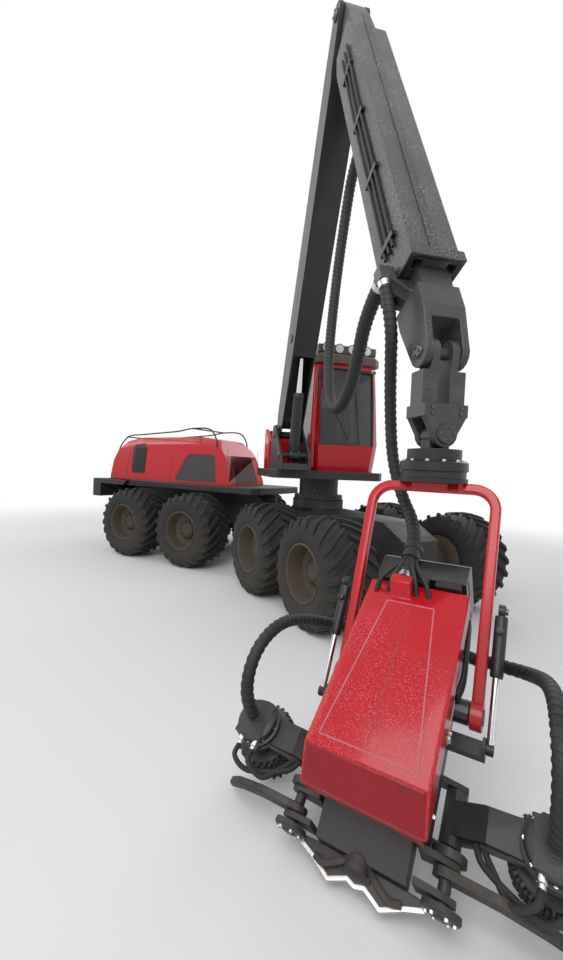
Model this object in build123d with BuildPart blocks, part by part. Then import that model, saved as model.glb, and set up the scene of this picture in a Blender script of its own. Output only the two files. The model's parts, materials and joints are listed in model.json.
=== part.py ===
from build123d import *
from math import atan2, cos, degrees, hypot, radians, sin, tan
import os

# Eight-wheeled forestry harvester, millimetres, Z up, standing on its tyres at z = 0.
# Every body is drawn straight in a frame of its own. The Locations below set them in the
# parked pose: frames articulated, crane slewed and folded down, head resting on the ground.

# Wheels and bogies
overall_width = 3000
tyre_width = 700
tyre_radius = 670
lug_height = 42
lug_count = 8
lug_thickness = 80
rim_wall = 26
rim_radius = 352
bogie_wheelbase = 1526
front_bogie_x = 2145
rear_bogie_x = -2160
bogie_width = 210
bogie_gap = 65
bogie_case_radius = 205
bogie_rise = 70
hub_radius = 120
stub_radius = 95
axle_beam_radius = 150

# Clearances
pin_gap = 0.3
face_gap = 0.5
pad_gap = 0.5
slide_gap = 6

# Parked pose, in degrees
articulation = 31
crane_heading = -16.5
inner_elevation = 63.7
outer_drop = 63.6
head_heading = -60.8
head_slope = 37

# Frames
frame_half = 300
frame_bottom = 640
frame_top = 1250
front_frame_end = 3330
rear_frame_end = -3960
joint_z = 980
lug_half_height = 65
pivot_pin_radius = 60
pivot_lug_radius = 145

# Slew platform and mast
slew_x = 1000
ring_radius = 430
ring_top = 1390
ring_sides = 24
platform_bottom = 1740
platform_top = 1870
platform_front = 700
platform_rear = -1060
crane_side = 650
mast_u = 300
foot_z = 2420
mast_plate = 35
mast_inner_half = 195

# Cab, placed by its centre line on the platform
cab_centre_y = 285
cab_half = 585
cab_front = 470
cab_rear = -1040
cab_floor = platform_top
cab_waist = 2330
cab_top = 3620
cab_wall = 45
cab_corner = 110
roof_height = 165
glass_thickness = 8
glass_inset = 16

# Crane
inner_length = 4860
inner_half_width = 170
outer_length = 3980
outer_half_width = 180
outer_depth = 430
boom_wall = 22
tip_reach = 597
tip_length = outer_length + tip_reach
extension_half_width = 118
extension_half_depth = 150
boom_pin_radius = 55

# Link, rotator and tilt frame
link_drop = 520
flange_radius = 212
flange_height = 137
rotator_radius = 168
hoop_drop = 858
hoop_half = 379
hoop_tube = 62
tilt_height = 1160
tilt_rake = 440

# Head, x along the stem towards the knives, z out through the cover
head_plate_half = 262
head_plate = 26
head_rear = -560
head_front = 640
head_top = 200
head_bottom = -95
saw_rear = -750
saw_slot = (-640, -612)
saw_bar_thickness = 12
saw_pivot = (-190, 230)
saw_pin_radius = 20
knife_pin = (350, -20)
knife_pin_radius = 26
knife_boss_radius = 55
knife_thickness = 36
knife_lug_rear = 662
feed_hinge = (330, -150)
feed_pin_radius = 24
feed_barrel_radius = 50
feed_start = 330
feed_end = 560
roller_x = 450
roller_y = 730
roller_radius = 178
roller_top = -95
roller_height = 210
motor_top = 80
motor_half = 95

# The world origin is the middle of the whole machine's box on the ground
origin_shift_x = -1026
origin_shift_y = 865

wheel_y = (overall_width - tyre_width) / 2
centre = Location((origin_shift_x, origin_shift_y, 0))
front = centre
rear = centre * Location((0, 0, 0), (0, 0, articulation))
upper = front * Location((slew_x, 0, 0), (0, 0, crane_heading))
crane = upper * Location((mast_u, -crane_side, foot_z))
inner = crane * Location((0, 0, 0), (0, -inner_elevation, 0))
outer = inner * Location((inner_length, 0, 0), (0, inner_elevation + outer_drop, 0))
tip = outer * Location((tip_length, 0, 0), (0, -outer_drop, 0))
hoop = tip * Location((0, 0, -hoop_drop), (0, 0, head_heading - crane_heading))
head = hoop * Location((tilt_rake, 0, -tilt_height), (0, head_slope, 0))

# Cylinder pins: the base in the frame of the body that carries it, the eye in the other's
steer_front_pin = (1000, 460)
steer_rear_pin = (-380, 510)
steer_barrel_length = 820
steer_rod_length = 926
lift_base = (430, -330)
lift_eye = (1500, -20)
lift_pin_radius = 42
lift_eye_half = 80
knuckle_base_back = 2510
knuckle_base_height = 360
knuckle_base = (inner_length - knuckle_base_back, knuckle_base_height)
knuckle_eye_radius = 420
knuckle_eye_angle = 65
knuckle_eye_half = 50
knuckle_pin_radius = 32
tilt_base_along = 550
tilt_eye = (140, -5)
tilt_side = 455
tilt_eye_half = 17
tilt_pin_radius = 20


def slab(points, low, high, mode=Mode.ADD, radius=0):
    """An outline in x and z, carried from y = low to y = high."""
    with BuildSketch(Plane.XZ.offset(-low)) as outline:
        with BuildLine():
            Polyline(*points, close=True)
        make_face()
        if radius:
            fillet(outline.vertices(), radius)
    extrude(outline.sketch, amount=low - high, mode=mode)


def plan(points, low, high, mode=Mode.ADD, radius=0):
    """An outline in x and y, carried from z = low to z = high."""
    with BuildSketch(Plane.XY.offset(low)) as outline:
        with BuildLine():
            Polyline(*points, close=True)
        make_face()
        if radius:
            fillet(outline.vertices(), radius)
    extrude(outline.sketch, amount=high - low, mode=mode)


def cross(points, low, high, mode=Mode.ADD, radius=0):
    """An outline in y and z, carried from x = low to x = high."""
    with BuildSketch(Plane.YZ.offset(low)) as outline:
        with BuildLine():
            Polyline(*points, close=True)
        make_face()
        if radius:
            fillet(outline.vertices(), radius)
    extrude(outline.sketch, amount=high - low, mode=mode)


def round_bar(plane, radius, length, mode=Mode.ADD):
    """A cylinder that starts on a plane and goes along its normal."""
    with BuildSketch(plane) as outline:
        Circle(radius)
    extrude(outline.sketch, amount=length, mode=mode)


def bar_y(x, z, radius, low, high, mode=Mode.ADD):
    """A round bar across the body, from y = low to y = high."""
    round_bar(Plane((x, low, z), x_dir=(1, 0, 0), z_dir=(0, 1, 0)), radius, high - low, mode)


def bar_x(y, z, radius, low, high, mode=Mode.ADD):
    """A round bar along the body, from x = low to x = high."""
    round_bar(Plane((low, y, z), x_dir=(0, 1, 0), z_dir=(1, 0, 0)), radius, high - low, mode)


def bar_z(x, y, radius, low, high, mode=Mode.ADD):
    """An upright round bar, from z = low to z = high."""
    round_bar(Plane((x, y, low)), radius, high - low, mode)


def stick(start, end, radius, sides=6, mode=Mode.ADD):
    """A straight flat-sided bar between two points."""
    start, end = Vector(*start), Vector(*end)
    with BuildSketch(Plane(origin=start, z_dir=end - start)) as outline:
        RegularPolygon(radius, sides)
    extrude(outline.sketch, amount=(end - start).length, mode=mode)


def bent_rail(points, radius):
    """A light rail's solid: a six-sided section mitred along straight runs."""
    with BuildPart() as tube:
        with BuildLine() as route:
            Polyline(*points)
        with BuildSketch(Plane(origin=route.line @ 0, z_dir=route.line % 0)):
            RegularPolygon(radius, 6)
        sweep(transition=Transition.RIGHT)
    return tube.part


def polygon_ring(radius, sides, y):
    """A regular polygon square to y, one section of a faceted wheel."""
    with BuildSketch(Plane.XZ.offset(-y)) as outline:
        RegularPolygon(radius, sides)
    return outline.sketch


def faceted(rings, sides, closed):
    """A solid of flat faces through polygons of (radius, y), closed on itself or capped at both ends."""
    turns = [radians(360 * i / sides) for i in range(sides)]
    corners = [[Vector(r * cos(turn), y, r * sin(turn)) for turn in turns] for r, y in rings]
    pairs = list(zip(corners, corners[1:])) + ([(corners[-1], corners[0])] if closed else [])
    faces = []
    for low, high in pairs:
        for i in range(sides):
            after = (i + 1) % sides
            faces.append(Face(Wire.make_polygon([low[i], low[after], high[after], high[i]], close=True)))
    if not closed:
        faces += [Face(Wire.make_polygon(ring, close=True)) for ring in (corners[0], corners[-1])]
    return Solid(Shell(faces))


# Wheel, its axle along y, its outer side towards +y
wheel_sides = 16
half_tread = tyre_width / 2
bead = half_tread - 20
carcass = [  # radius, y
    (rim_radius + face_gap, -bead),
    (560, -half_tread),
    (tyre_radius - lug_height, -half_tread + 70),
    (tyre_radius - lug_height, half_tread - 70),
    (560, half_tread),
    (rim_radius + face_gap, bead),
]
lug_pitch = 360 / lug_count
lug_skew = radians(26)
lug_foot = tyre_radius - lug_height - 60
with BuildPart() as tyre:
    add(faceted(carcass, wheel_sides, True))
    for side in (1, -1):
        for i in range(lug_count):
            turn = radians((i + 0.5 + side / 4) * lug_pitch)
            radial = Vector(sin(turn), 0, cos(turn))
            tangent = Vector(cos(turn), 0, -sin(turn))
            along = tangent * sin(lug_skew) + Vector(0, side * cos(lug_skew), 0)
            start = tangent * (-half_tread / 2 * sin(lug_skew))
            with BuildSketch(Plane(origin=start, x_dir=along, z_dir=along.cross(radial))) as lug:
                with BuildLine():
                    Polyline(
                        (20, lug_foot),
                        (20, tyre_radius),
                        (half_tread - 45, tyre_radius - 8),
                        (half_tread, lug_foot),
                        close=True,
                    )
                make_face()
            extrude(lug.sketch, amount=lug_thickness / 2, both=True)

axle_z = -tyre.part.bounding_box().min.Z

hub_face = 176
dish_floor = 96
with BuildPart() as rim:
    outer_rings = [(rim_radius, -bead), (rim_radius, bead)]
    rings = [*outer_rings, (rim_radius - rim_wall, bead), (hub_radius + 90, dish_floor)]
    add(faceted(rings, wheel_sides, False))
    extrude(polygon_ring(hub_radius, lug_count, dish_floor), amount=dish_floor - hub_face)

wheel_places = {
    "wheel_front_left_lead": (front, front_bogie_x + bogie_wheelbase / 2, 1),
    "wheel_front_left_trail": (front, front_bogie_x - bogie_wheelbase / 2, 1),
    "wheel_front_right_lead": (front, front_bogie_x + bogie_wheelbase / 2, -1),
    "wheel_front_right_trail": (front, front_bogie_x - bogie_wheelbase / 2, -1),
    "wheel_rear_left_lead": (rear, rear_bogie_x + bogie_wheelbase / 2, 1),
    "wheel_rear_left_trail": (rear, rear_bogie_x - bogie_wheelbase / 2, 1),
    "wheel_rear_right_lead": (rear, rear_bogie_x + bogie_wheelbase / 2, -1),
    "wheel_rear_right_trail": (rear, rear_bogie_x - bogie_wheelbase / 2, -1),
}

# Bogies: a gear case each side, with a stub to each wheel and a beam to the frame's side
stub_end = wheel_y - bead - face_gap
bogie_outer = wheel_y - tyre_width / 2 - bogie_gap
bogie_inner = bogie_outer - bogie_width


def bogie(x, side):
    """One gear case on its beam, side = 1 on the left and -1 on the right."""
    half_base = bogie_wheelbase / 2
    half_end = half_base + bogie_case_radius
    edge = 0.45 * bogie_case_radius
    near, far = sorted((side * bogie_inner, side * bogie_outer))
    case = [
        (x - half_end, axle_z - edge),
        (x - half_base - edge, axle_z - bogie_case_radius),
        (x + half_base + edge, axle_z - bogie_case_radius),
        (x + half_end, axle_z - edge),
        (x + half_end, axle_z + edge),
        (x + half_base + edge, axle_z + bogie_case_radius),
        (x + half_base * 0.4, axle_z + bogie_case_radius + bogie_rise),
        (x - half_base * 0.4, axle_z + bogie_case_radius + bogie_rise),
        (x - half_base - edge, axle_z + bogie_case_radius),
        (x - half_end, axle_z + edge),
    ]
    slab(case, near, far)
    for end in (-half_base, half_base):
        stick((x + end, side * bogie_outer, axle_z), (x + end, side * stub_end, axle_z), stub_radius, 12)
    beam_z = axle_z + bogie_rise
    stick((x, side * frame_half, beam_z), (x, side * bogie_inner, beam_z), axle_beam_radius, 12)


with BuildPart() as front_bogies:
    for side in (1, -1):
        bogie(front_bogie_x, side)

with BuildPart() as rear_bogies:
    for side in (1, -1):
        bogie(rear_bogie_x, side)

# Front frame, from its centre lug at x = 0 to the nose
clevis_gap = 5
clevis_plate = 40
steer_pin_radius = 25
steer_eye_half = 40
steer_plate = 24


def steer_ears(pin, side, width):
    """The two plates that hold a steering cylinder's end, above and below it."""
    x, y = pin
    near, far = sorted((side * 170, side * (y + 55)))
    for low in (joint_z + steer_eye_half + pad_gap, joint_z - steer_eye_half - pad_gap - steer_plate):
        plan(
            [(x - width, near), (x + width, near), (x + width, far), (x - width, far)],
            low,
            low + steer_plate,
        )


with BuildPart() as front_frame:
    side_view = [
        (300, 860),
        (300, 1120),
        (620, frame_top),
        (front_frame_end - 380, frame_top),
        (front_frame_end, 1050),
        (front_frame_end, 780),
        (front_frame_end - 430, frame_bottom),
        (1200, frame_bottom),
        (750, 860),
    ]
    slab(side_view, -frame_half, frame_half)
    top_view = [
        (300, -180),
        (700, -frame_half),
        (front_frame_end, -frame_half),
        (front_frame_end, frame_half),
        (700, frame_half),
        (300, 180),
    ]
    plan(top_view, frame_bottom, frame_top, mode=Mode.INTERSECT)
    lug_low, lug_high = joint_z - lug_half_height, joint_z + lug_half_height
    lug_view = [
        (0, -pivot_lug_radius),
        (320, -pivot_lug_radius),
        (320, pivot_lug_radius),
        (0, pivot_lug_radius),
    ]
    plan(lug_view, lug_low, lug_high)
    bar_z(0, 0, pivot_lug_radius, lug_low, lug_high)
    bar_z(0, 0, pivot_pin_radius, lug_low, lug_high, mode=Mode.SUBTRACT)
    stick((slew_x, 0, frame_top), (slew_x, 0, ring_top), ring_radius, ring_sides)
    for side in (1, -1):
        steer_ears(steer_front_pin, side, 75)
        bar_z(
            steer_front_pin[0],
            side * steer_front_pin[1],
            steer_pin_radius,
            joint_z - steer_eye_half - pad_gap - steer_plate,
            joint_z + steer_eye_half + pad_gap + steer_plate,
        )

# Rear frame, from its clevis at x = 0 back to the bumper and the towing lug
deck_bottom = 1370
tow_x = rear_frame_end - 90
tow_z = 800
tow_half = 60
tow_plate = 60
tow_bore = 26
bumper_half = 1250
bumper_front = rear_frame_end + 10
bumper_rear = rear_frame_end - 290
with BuildPart() as rear_frame:
    side_view = [
        (-300, 870),
        (-300, 1110),
        (-600, deck_bottom),
        (rear_frame_end, deck_bottom),
        (rear_frame_end, 790),
        (rear_frame_end + 900, frame_bottom + 60),
        (-1300, frame_bottom + 60),
        (-750, 870),
    ]
    slab(side_view, -frame_half, frame_half)
    top_view = [
        (-300, -180),
        (-600, -frame_half),
        (rear_frame_end, -frame_half),
        (rear_frame_end, frame_half),
        (-600, frame_half),
        (-300, 180),
    ]
    plan(top_view, frame_bottom, deck_bottom, mode=Mode.INTERSECT)
    plate_view = [
        (-320, -pivot_lug_radius),
        (0, -pivot_lug_radius),
        (0, pivot_lug_radius),
        (-320, pivot_lug_radius),
    ]
    for low in (lug_high + clevis_gap, lug_low - clevis_gap - clevis_plate):
        plan(plate_view, low, low + clevis_plate)
        bar_z(0, 0, pivot_lug_radius, low, low + clevis_plate)
    bar_z(
        0,
        0,
        pivot_pin_radius - pin_gap,
        lug_low - clevis_gap - clevis_plate,
        lug_high + clevis_gap + clevis_plate,
    )
    for side in (1, -1):
        steer_ears(steer_rear_pin, side, 90)
    bumper_view = [
        (bumper_front, -bumper_half),
        (bumper_front, bumper_half),
        (bumper_rear + 60, bumper_half),
        (bumper_rear, bumper_half - 120),
        (bumper_rear, 120 - bumper_half),
        (bumper_rear + 60, -bumper_half),
    ]
    plan(bumper_view, 1120, 1495)
    for side in (1, -1):
        near, far = sorted((side * (bumper_half - 110), side * bumper_half))
        slab([(bumper_front, 1400), (bumper_front, 1495), (-3150, 1495), (-3230, 1400)], near, far)
    plan([(rear_frame_end, -90), (rear_frame_end, 90), (tow_x, 90), (tow_x, -90)], tow_z, tow_z + tow_plate)
    bar_z(tow_x, 0, tow_half + 30, tow_z, tow_z + tow_plate)
    bar_z(tow_x, 0, tow_bore, tow_z, tow_z + tow_plate, mode=Mode.SUBTRACT)

# Deck and tank on the rear frame, with a grab rail each side at the front
deck_top = 1495
deck_front = -200
deck_half = 850
with BuildPart() as deck_tank:
    deck_view = [
        (bumper_front + 1, -deck_half),
        (deck_front - 120, -deck_half),
        (deck_front, 120 - deck_half),
        (deck_front, deck_half - 120),
        (deck_front - 120, deck_half),
        (bumper_front + 1, deck_half),
    ]
    plan(deck_view, deck_bottom, deck_top)

# Engine, one plain block
with BuildPart() as engine_block:
    plan([(-3500, -430), (-1900, -430), (-1900, 430), (-3500, 430)], deck_top, 2120)

# Hood: one shell of tumble-home cross sections cut to the roof line, open underneath
hood_base = deck_top + pin_gap
hood_rear = -4080
hood_nose = -1000
hood_rear_half = 900
hood_nose_half = 620
hood_lean = 190
hood_wall = 28
hood_shoulder = 160


def hood_body(inset, mode=Mode.ADD):
    """The hood's form, drawn in from its outside by an inset."""
    sections = []
    for x, half in ((hood_rear, hood_rear_half), (hood_nose, hood_nose_half)):
        with BuildSketch(Plane.YZ.offset(x)) as section:
            with BuildLine():
                Polyline(
                    (inset - half, hood_base - 100),
                    (half - inset, hood_base - 100),
                    (half - inset, hood_base + 60),
                    (half - hood_lean - inset, 2700),
                    (hood_lean + inset - half, 2700),
                    (inset - half, hood_base + 60),
                    close=True,
                )
            make_face()
        sections.append(section.sketch)
    roof = [
        (hood_rear + inset, hood_base - inset),
        (hood_rear + inset + 20, 1900),
        (hood_rear + inset + 200, 2340 - inset),
        (hood_rear + inset + 560, 2425 - inset),
        (-1900, 2455 - inset),
        (-1420 - inset, 2390 - inset),
        (-1170 - inset, 2080),
        (hood_nose - inset, 1560),
        (hood_nose - inset, hood_base - inset),
    ]
    with BuildPart(mode=Mode.PRIVATE) as body:
        loft(sections, ruled=True)
        slab(roof, -hood_rear_half, hood_rear_half, mode=Mode.INTERSECT)
        top = body.edges().filter_by(lambda e: e.center().Z > 2300 and abs(e.center().Y) > 300)
        chamfer(top, hood_shoulder - 2 * inset)
    add(body.part, mode=mode)


side_mesh = [
    (-2270, 1545),
    (-2290, 1600),
    (-2070, 2050),
    (-2010, 2090),
    (-1450, 2090),
    (-1390, 2040),
    (-1290, 1545),
]
side_vent = [
    (-3440, 1640),
    (-3500, 1700),
    (-3530, 2200),
    (-3480, 2250),
    (-3240, 2300),
    (-3180, 2250),
    (-3100, 1640),
]
front_mesh = [(-380, 1545), (-390, 1600), (-340, 2080), (340, 2080), (390, 1600), (380, 1545)]


def grille_prisms(gap, mode=Mode.ADD):
    """The openings for the side meshes, the side vents and the front mesh, less a gap."""
    for points in (side_mesh, side_vent):
        with BuildSketch(Plane.XZ.offset(-hood_rear_half)) as outline:
            with BuildLine():
                Polyline(*points, close=True)
            make_face()
            offset(amount=-gap, kind=Kind.INTERSECTION)
        extrude(outline.sketch, amount=2 * hood_rear_half, mode=mode)
    with BuildSketch(Plane.YZ.offset(hood_nose - 420)) as outline:
        with BuildLine():
            Polyline(*front_mesh, close=True)
        make_face()
        offset(amount=-gap, kind=Kind.INTERSECTION)
    extrude(outline.sketch, amount=460, mode=mode)


with BuildPart() as hood_shell:
    hood_body(0)
    hood_body(hood_wall, Mode.SUBTRACT)
    grille_prisms(0.01, mode=Mode.SUBTRACT)

with BuildPart() as grille_cutter:
    grille_prisms(pin_gap)

with BuildPart() as hood_grilles:
    hood_body(6)
    hood_body(18, Mode.SUBTRACT)
    add(grille_cutter.part, mode=Mode.INTERSECT)

rail_tube = 17
rail_half = 520
rail_line = [  # x, z
    (-4066, 1880),
    (-4290, 2110),
    (-4000, 2440),
    (-3450, 2500),
    (-2500, 2560),
    (-2050, 2620),
    (-1600, 2600),
    (-1400, 2420),
]
with BuildPart() as hood_rail:
    for side in (1, -1):
        add(bent_rail([(x, side * rail_half, z) for x, z in rail_line], rail_tube))
    for x, z in (rail_line[1], rail_line[2], rail_line[5]):
        stick((x + 14, -rail_half, z), (x + 14, rail_half, z), rail_tube - 2)
    hood_body(-pad_gap, Mode.SUBTRACT)

# Turntable: column on the slew ring, platform plate, mast plates with the two crane pins
column_radius = 330
mast_outer = mast_inner_half + mast_plate


def mast(x, z):
    """A point of the crane frame given in the platform's frame."""
    return (mast_u + x, foot_z + z)


with BuildPart() as turntable:
    stick((0, 0, ring_top + face_gap), (0, 0, platform_bottom), column_radius, ring_sides)
    stick((0, 0, ring_top + face_gap), (0, 0, ring_top + 60), ring_radius - 20, ring_sides)
    deck = [
        (platform_rear, -700),
        (platform_rear + 260, -950),
        (platform_front - 60, -950),
        (platform_front, -890),
        (platform_front, 780),
        (platform_front - 160, 900),
        (platform_rear + 160, 900),
        (platform_rear, 740),
    ]
    plan(deck, platform_bottom, platform_top)
    cheek = [
        mast(-330, platform_top - foot_z),
        mast(620, platform_top - foot_z),
        mast(545, -330),
        mast(470, -230),
        mast(150, 40),
        mast(70, 150),
        mast(-90, 150),
        mast(-170, 40),
    ]
    for near, far in ((-mast_outer, -mast_inner_half), (mast_inner_half, mast_outer)):
        slab(cheek, near - crane_side, far - crane_side)
    pedestal = [
        mast(-280, platform_top - foot_z),
        mast(600, platform_top - foot_z),
        mast(560, -450),
        mast(-240, -450),
    ]
    slab(pedestal, -mast_inner_half - crane_side, mast_inner_half - crane_side)
    bar_y(*mast(0, 0), boom_pin_radius, -mast_outer - 12 - crane_side, mast_outer + 12 - crane_side)
    bar_y(*mast(*lift_base), lift_pin_radius, -mast_outer - 12 - crane_side, mast_outer + 12 - crane_side)


# Cab: ruled sections from the floor to the roof, cut into shell, door and glass
def cab_body(inset, mode=Mode.ADD):
    """The cab's form, drawn in from its outside by an inset."""
    sections = []
    for z, front_x, rear_x, half in (
        (cab_floor + inset, cab_front - 70, cab_rear + 40, cab_half - 35),
        (cab_waist, cab_front, cab_rear, cab_half),
        (cab_top - inset * 0.6, cab_front - 90, cab_rear + 40, cab_half - 55),
    ):
        with BuildSketch(Plane.XY.offset(z)) as section:
            with Locations(((front_x + rear_x) / 2, cab_centre_y)):
                Rectangle(front_x - rear_x - 2 * inset, 2 * half - 2 * inset)
            chamfer(section.vertices(), cab_corner - 0.586 * inset)
        sections.append(section.sketch)
    loft(sections, ruled=True, mode=mode)


cab_left = cab_centre_y + cab_half
door_hinge_x = -470
door_rear = door_hinge_x + 20
door_view = [(door_rear, 1935), (330, 1935), (358, 2400), (290, 3560), (door_rear, 3560)]
windows = {  # looking along "x" or "y": where the cut starts, where it ends, its outline
    "windscreen": (
        "x",
        200,
        520,
        [(-465, 2300), (-440, 3500), (-395, 3545), (395, 3545), (440, 3500), (465, 2300)],
    ),
    "rear": ("x", -1080, -800, [(-400, 2500), (-400, 3500), (400, 3500), (400, 2500)]),
    "right": (
        "y",
        -620,
        -420,
        [(-830, 2420), (-830, 3480), (-790, 3520), (180, 3520), (290, 2250), (-200, 2250)],
    ),
    "quarter": ("y", 420, 620, [(-880, 2450), (-880, 3500), (-540, 3500), (-540, 2450)]),
}
door_window = [(door_rear + 70, 2250), (290, 2250), (225, 3480), (door_rear + 70, 3480)]


def window_prism(look, low, high, outline, gap, mode=Mode.ADD):
    """A window's prism in the cab, less a gap."""
    plane = Plane.YZ.offset(low) if look == "x" else Plane.XZ.offset(-low - cab_centre_y)
    shift = cab_centre_y if look == "x" else 0
    with BuildSketch(plane) as pane:
        with BuildLine():
            Polyline(*[(a + shift, b) for a, b in outline], close=True)
        make_face()
        offset(amount=-gap, kind=Kind.INTERSECTION)
    extrude(pane.sketch, amount=high - low if look == "x" else low - high, mode=mode)


def door_prism(gap, mode=Mode.ADD):
    """The door's prism through the left wall, less a gap."""
    with BuildSketch(Plane.XZ.offset(-cab_centre_y - cab_half + 120)) as leaf:
        with BuildLine():
            Polyline(*door_view, close=True)
        make_face()
        offset(amount=-gap, kind=Kind.INTERSECTION)
    extrude(leaf.sketch, amount=-200, mode=mode)


hinge_y = cab_left + 28
hinge_heights = (2150, 3200)
with BuildPart() as cab_shell:
    cab_body(0)
    cab_body(cab_wall, Mode.SUBTRACT)
    for look, low, high, outline in windows.values():
        window_prism(look, low, high, outline, 0.01, mode=Mode.SUBTRACT)
    door_prism(0.01, mode=Mode.SUBTRACT)
    for z in hinge_heights:
        plan(
            [
                (door_hinge_x - 60, cab_left - 70),
                (door_hinge_x - 25, cab_left - 70),
                (door_hinge_x + 8, hinge_y),
                (door_hinge_x - 20, hinge_y + 12),
            ],
            z - 60,
            z - 30,
        )
        bar_z(door_hinge_x, hinge_y, 9, z - 60, z + 30)

with BuildPart() as cab_door:
    cab_body(0)
    cab_body(cab_wall, Mode.SUBTRACT)
    with BuildPart(mode=Mode.PRIVATE) as leaf_part:
        door_prism(slide_gap)
    add(leaf_part.part, mode=Mode.INTERSECT)
    window_prism("y", 420, 650, door_window, 0.01, mode=Mode.SUBTRACT)
    for z in hinge_heights:
        plan(
            [
                (door_hinge_x - 14, hinge_y + 14),
                (door_hinge_x + 14, hinge_y - 14),
                (door_rear + 60, cab_left - 80),
                (door_rear + 60, cab_left - 25),
            ],
            z - 25,
            z + 25,
        )
        bar_z(door_hinge_x, hinge_y, 19, z - 25, z + 25)
        bar_z(door_hinge_x, hinge_y, 9 + pin_gap, z - 25, z + 25, mode=Mode.SUBTRACT)

with BuildPart() as glass_prisms:
    for look, low, high, outline in windows.values():
        window_prism(look, low, high, outline, pin_gap)

with BuildPart() as cab_glass:
    cab_body(glass_inset - glass_thickness / 2)
    cab_body(glass_inset + glass_thickness / 2, Mode.SUBTRACT)
    add(glass_prisms.part, mode=Mode.INTERSECT)

with BuildPart() as door_pane:
    window_prism("y", 420, 650, door_window, pin_gap)

with BuildPart() as door_glass:
    cab_body(glass_inset - glass_thickness / 2)
    cab_body(glass_inset + glass_thickness / 2, Mode.SUBTRACT)
    add(door_pane.part, mode=Mode.INTERSECT)

with BuildPart() as cab_roof:
    with BuildSketch(Plane.XY.offset(cab_top)) as roof_plan:
        with Locations(((cab_front - 90 + cab_rear + 40) / 2 + 20, cab_centre_y)):
            Rectangle(cab_front - cab_rear - 60, 2 * cab_half - 30)
        chamfer(roof_plan.vertices(), cab_corner)
    extrude(roof_plan.sketch, amount=roof_height)
    chamfer(cab_roof.faces().sort_by(Axis.Z)[-1].edges(), 45)
    lamp_bar = [
        (cab_front - 190, cab_top + roof_height),
        (cab_front - 120, cab_top + roof_height + 20),
        (cab_front - 120, cab_top + roof_height + 150),
        (cab_front - 240, cab_top + roof_height + 150),
        (cab_front - 260, cab_top + roof_height),
    ]
    slab(lamp_bar, cab_centre_y - 500, cab_centre_y + 500)

seat_x = -420
with BuildPart() as cab_seat:
    seat_side = [
        (seat_x - 180, cab_floor + cab_wall),
        (seat_x + 160, cab_floor + cab_wall),
        (seat_x + 120, cab_floor + 330),
        (seat_x + 290, cab_floor + 380),
        (seat_x + 290, cab_floor + 480),
        (seat_x - 150, cab_floor + 480),
        (seat_x - 270, cab_floor + 1180),
        (seat_x - 370, cab_floor + 1150),
        (seat_x - 260, cab_floor + 330),
        (seat_x - 180, cab_floor + 330),
    ]
    slab(seat_side, cab_centre_y - 230, cab_centre_y + 230)
    rest_side = [
        (seat_x - 220, cab_floor + 600),
        (seat_x + 260, cab_floor + 600),
        (seat_x + 330, cab_floor + 700),
        (seat_x + 260, cab_floor + 730),
        (seat_x - 220, cab_floor + 680),
    ]
    for side in (1, -1):
        near, far = sorted((side * 229, side * 330))
        slab(rest_side, cab_centre_y + near, cab_centre_y + far)

guard_rear = -430
with BuildPart() as crane_guard:
    guard_side = [
        (guard_rear, platform_top),
        (mast_u - 340, platform_top),
        (mast_u - 340, 2330),
        (guard_rear + 60, 2560),
        (guard_rear, 2500),
    ]
    slab(guard_side, -crane_side - 250, -crane_side - 190)
    slab(guard_side, -crane_side + 190, -crane_side + 215)
    slab(
        [
            (guard_rear, platform_top),
            (guard_rear + 40, platform_top),
            (guard_rear + 40, 2540),
            (guard_rear, 2500),
        ],
        -crane_side - 191,
        -crane_side + 191,
    )


# Cylinders, each along x from its base pin, with its pins along y
def barrel(radius, length, bore, eye_radius, eye_half, pin_radius, neck):
    """The barrel with its base eye at the origin and a neck before its body, bored for the rod."""
    stick((0, -eye_half, 0), (0, eye_half, 0), eye_radius, 12)
    shoulder = 0.65 * eye_radius
    slab([(0, -shoulder), (neck, -shoulder), (neck, shoulder), (0, shoulder)], -eye_half, eye_half)
    stick((neck, 0, 0), (length, 0, 0), radius, 12)
    bar_x(0, 0, bore + pin_gap, eye_radius, length, mode=Mode.SUBTRACT)
    bar_y(0, 0, pin_radius + pin_gap, -radius - eye_half, radius + eye_half, mode=Mode.SUBTRACT)


def rod(radius, start, end, eye_radius, eye_half, hole_radius):
    """The rod from inside the barrel to its open eye."""
    bar_x(0, 0, radius, start, end - eye_radius * 0.7)
    stick((end, -eye_half, 0), (end, eye_half, 0), eye_radius, 12)
    bar_y(end, 0, hole_radius, -eye_half, eye_half, mode=Mode.SUBTRACT)


def reach(base, eye):
    """Length and angle in degrees from a cylinder's base pin to its eye, both as x and z or x and y."""
    run, rise = eye[0] - base[0], eye[1] - base[1]
    return hypot(run, rise), degrees(atan2(rise, run))


def turned(point, angle):
    """A point turned about the origin, counterclockwise in its own plane."""
    a = radians(angle)
    return (point[0] * cos(a) - point[1] * sin(a), point[0] * sin(a) + point[1] * cos(a))


lift_length, lift_angle = reach(lift_base, turned(lift_eye, inner_elevation))
knuckle_turn = radians(knuckle_eye_angle)
knuckle_eye = (
    inner_length + knuckle_eye_radius * cos(knuckle_turn),
    knuckle_eye_radius * sin(knuckle_turn),
)
knuckle_length, knuckle_angle = reach(knuckle_base, knuckle_eye)
leg_length = hypot(tilt_rake, tilt_height)
tilt_base = (-tilt_rake / leg_length * tilt_base_along, tilt_height / leg_length * tilt_base_along)
tilt_length, tilt_angle = reach(tilt_base, turned(tilt_eye, -head_slope))

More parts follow.
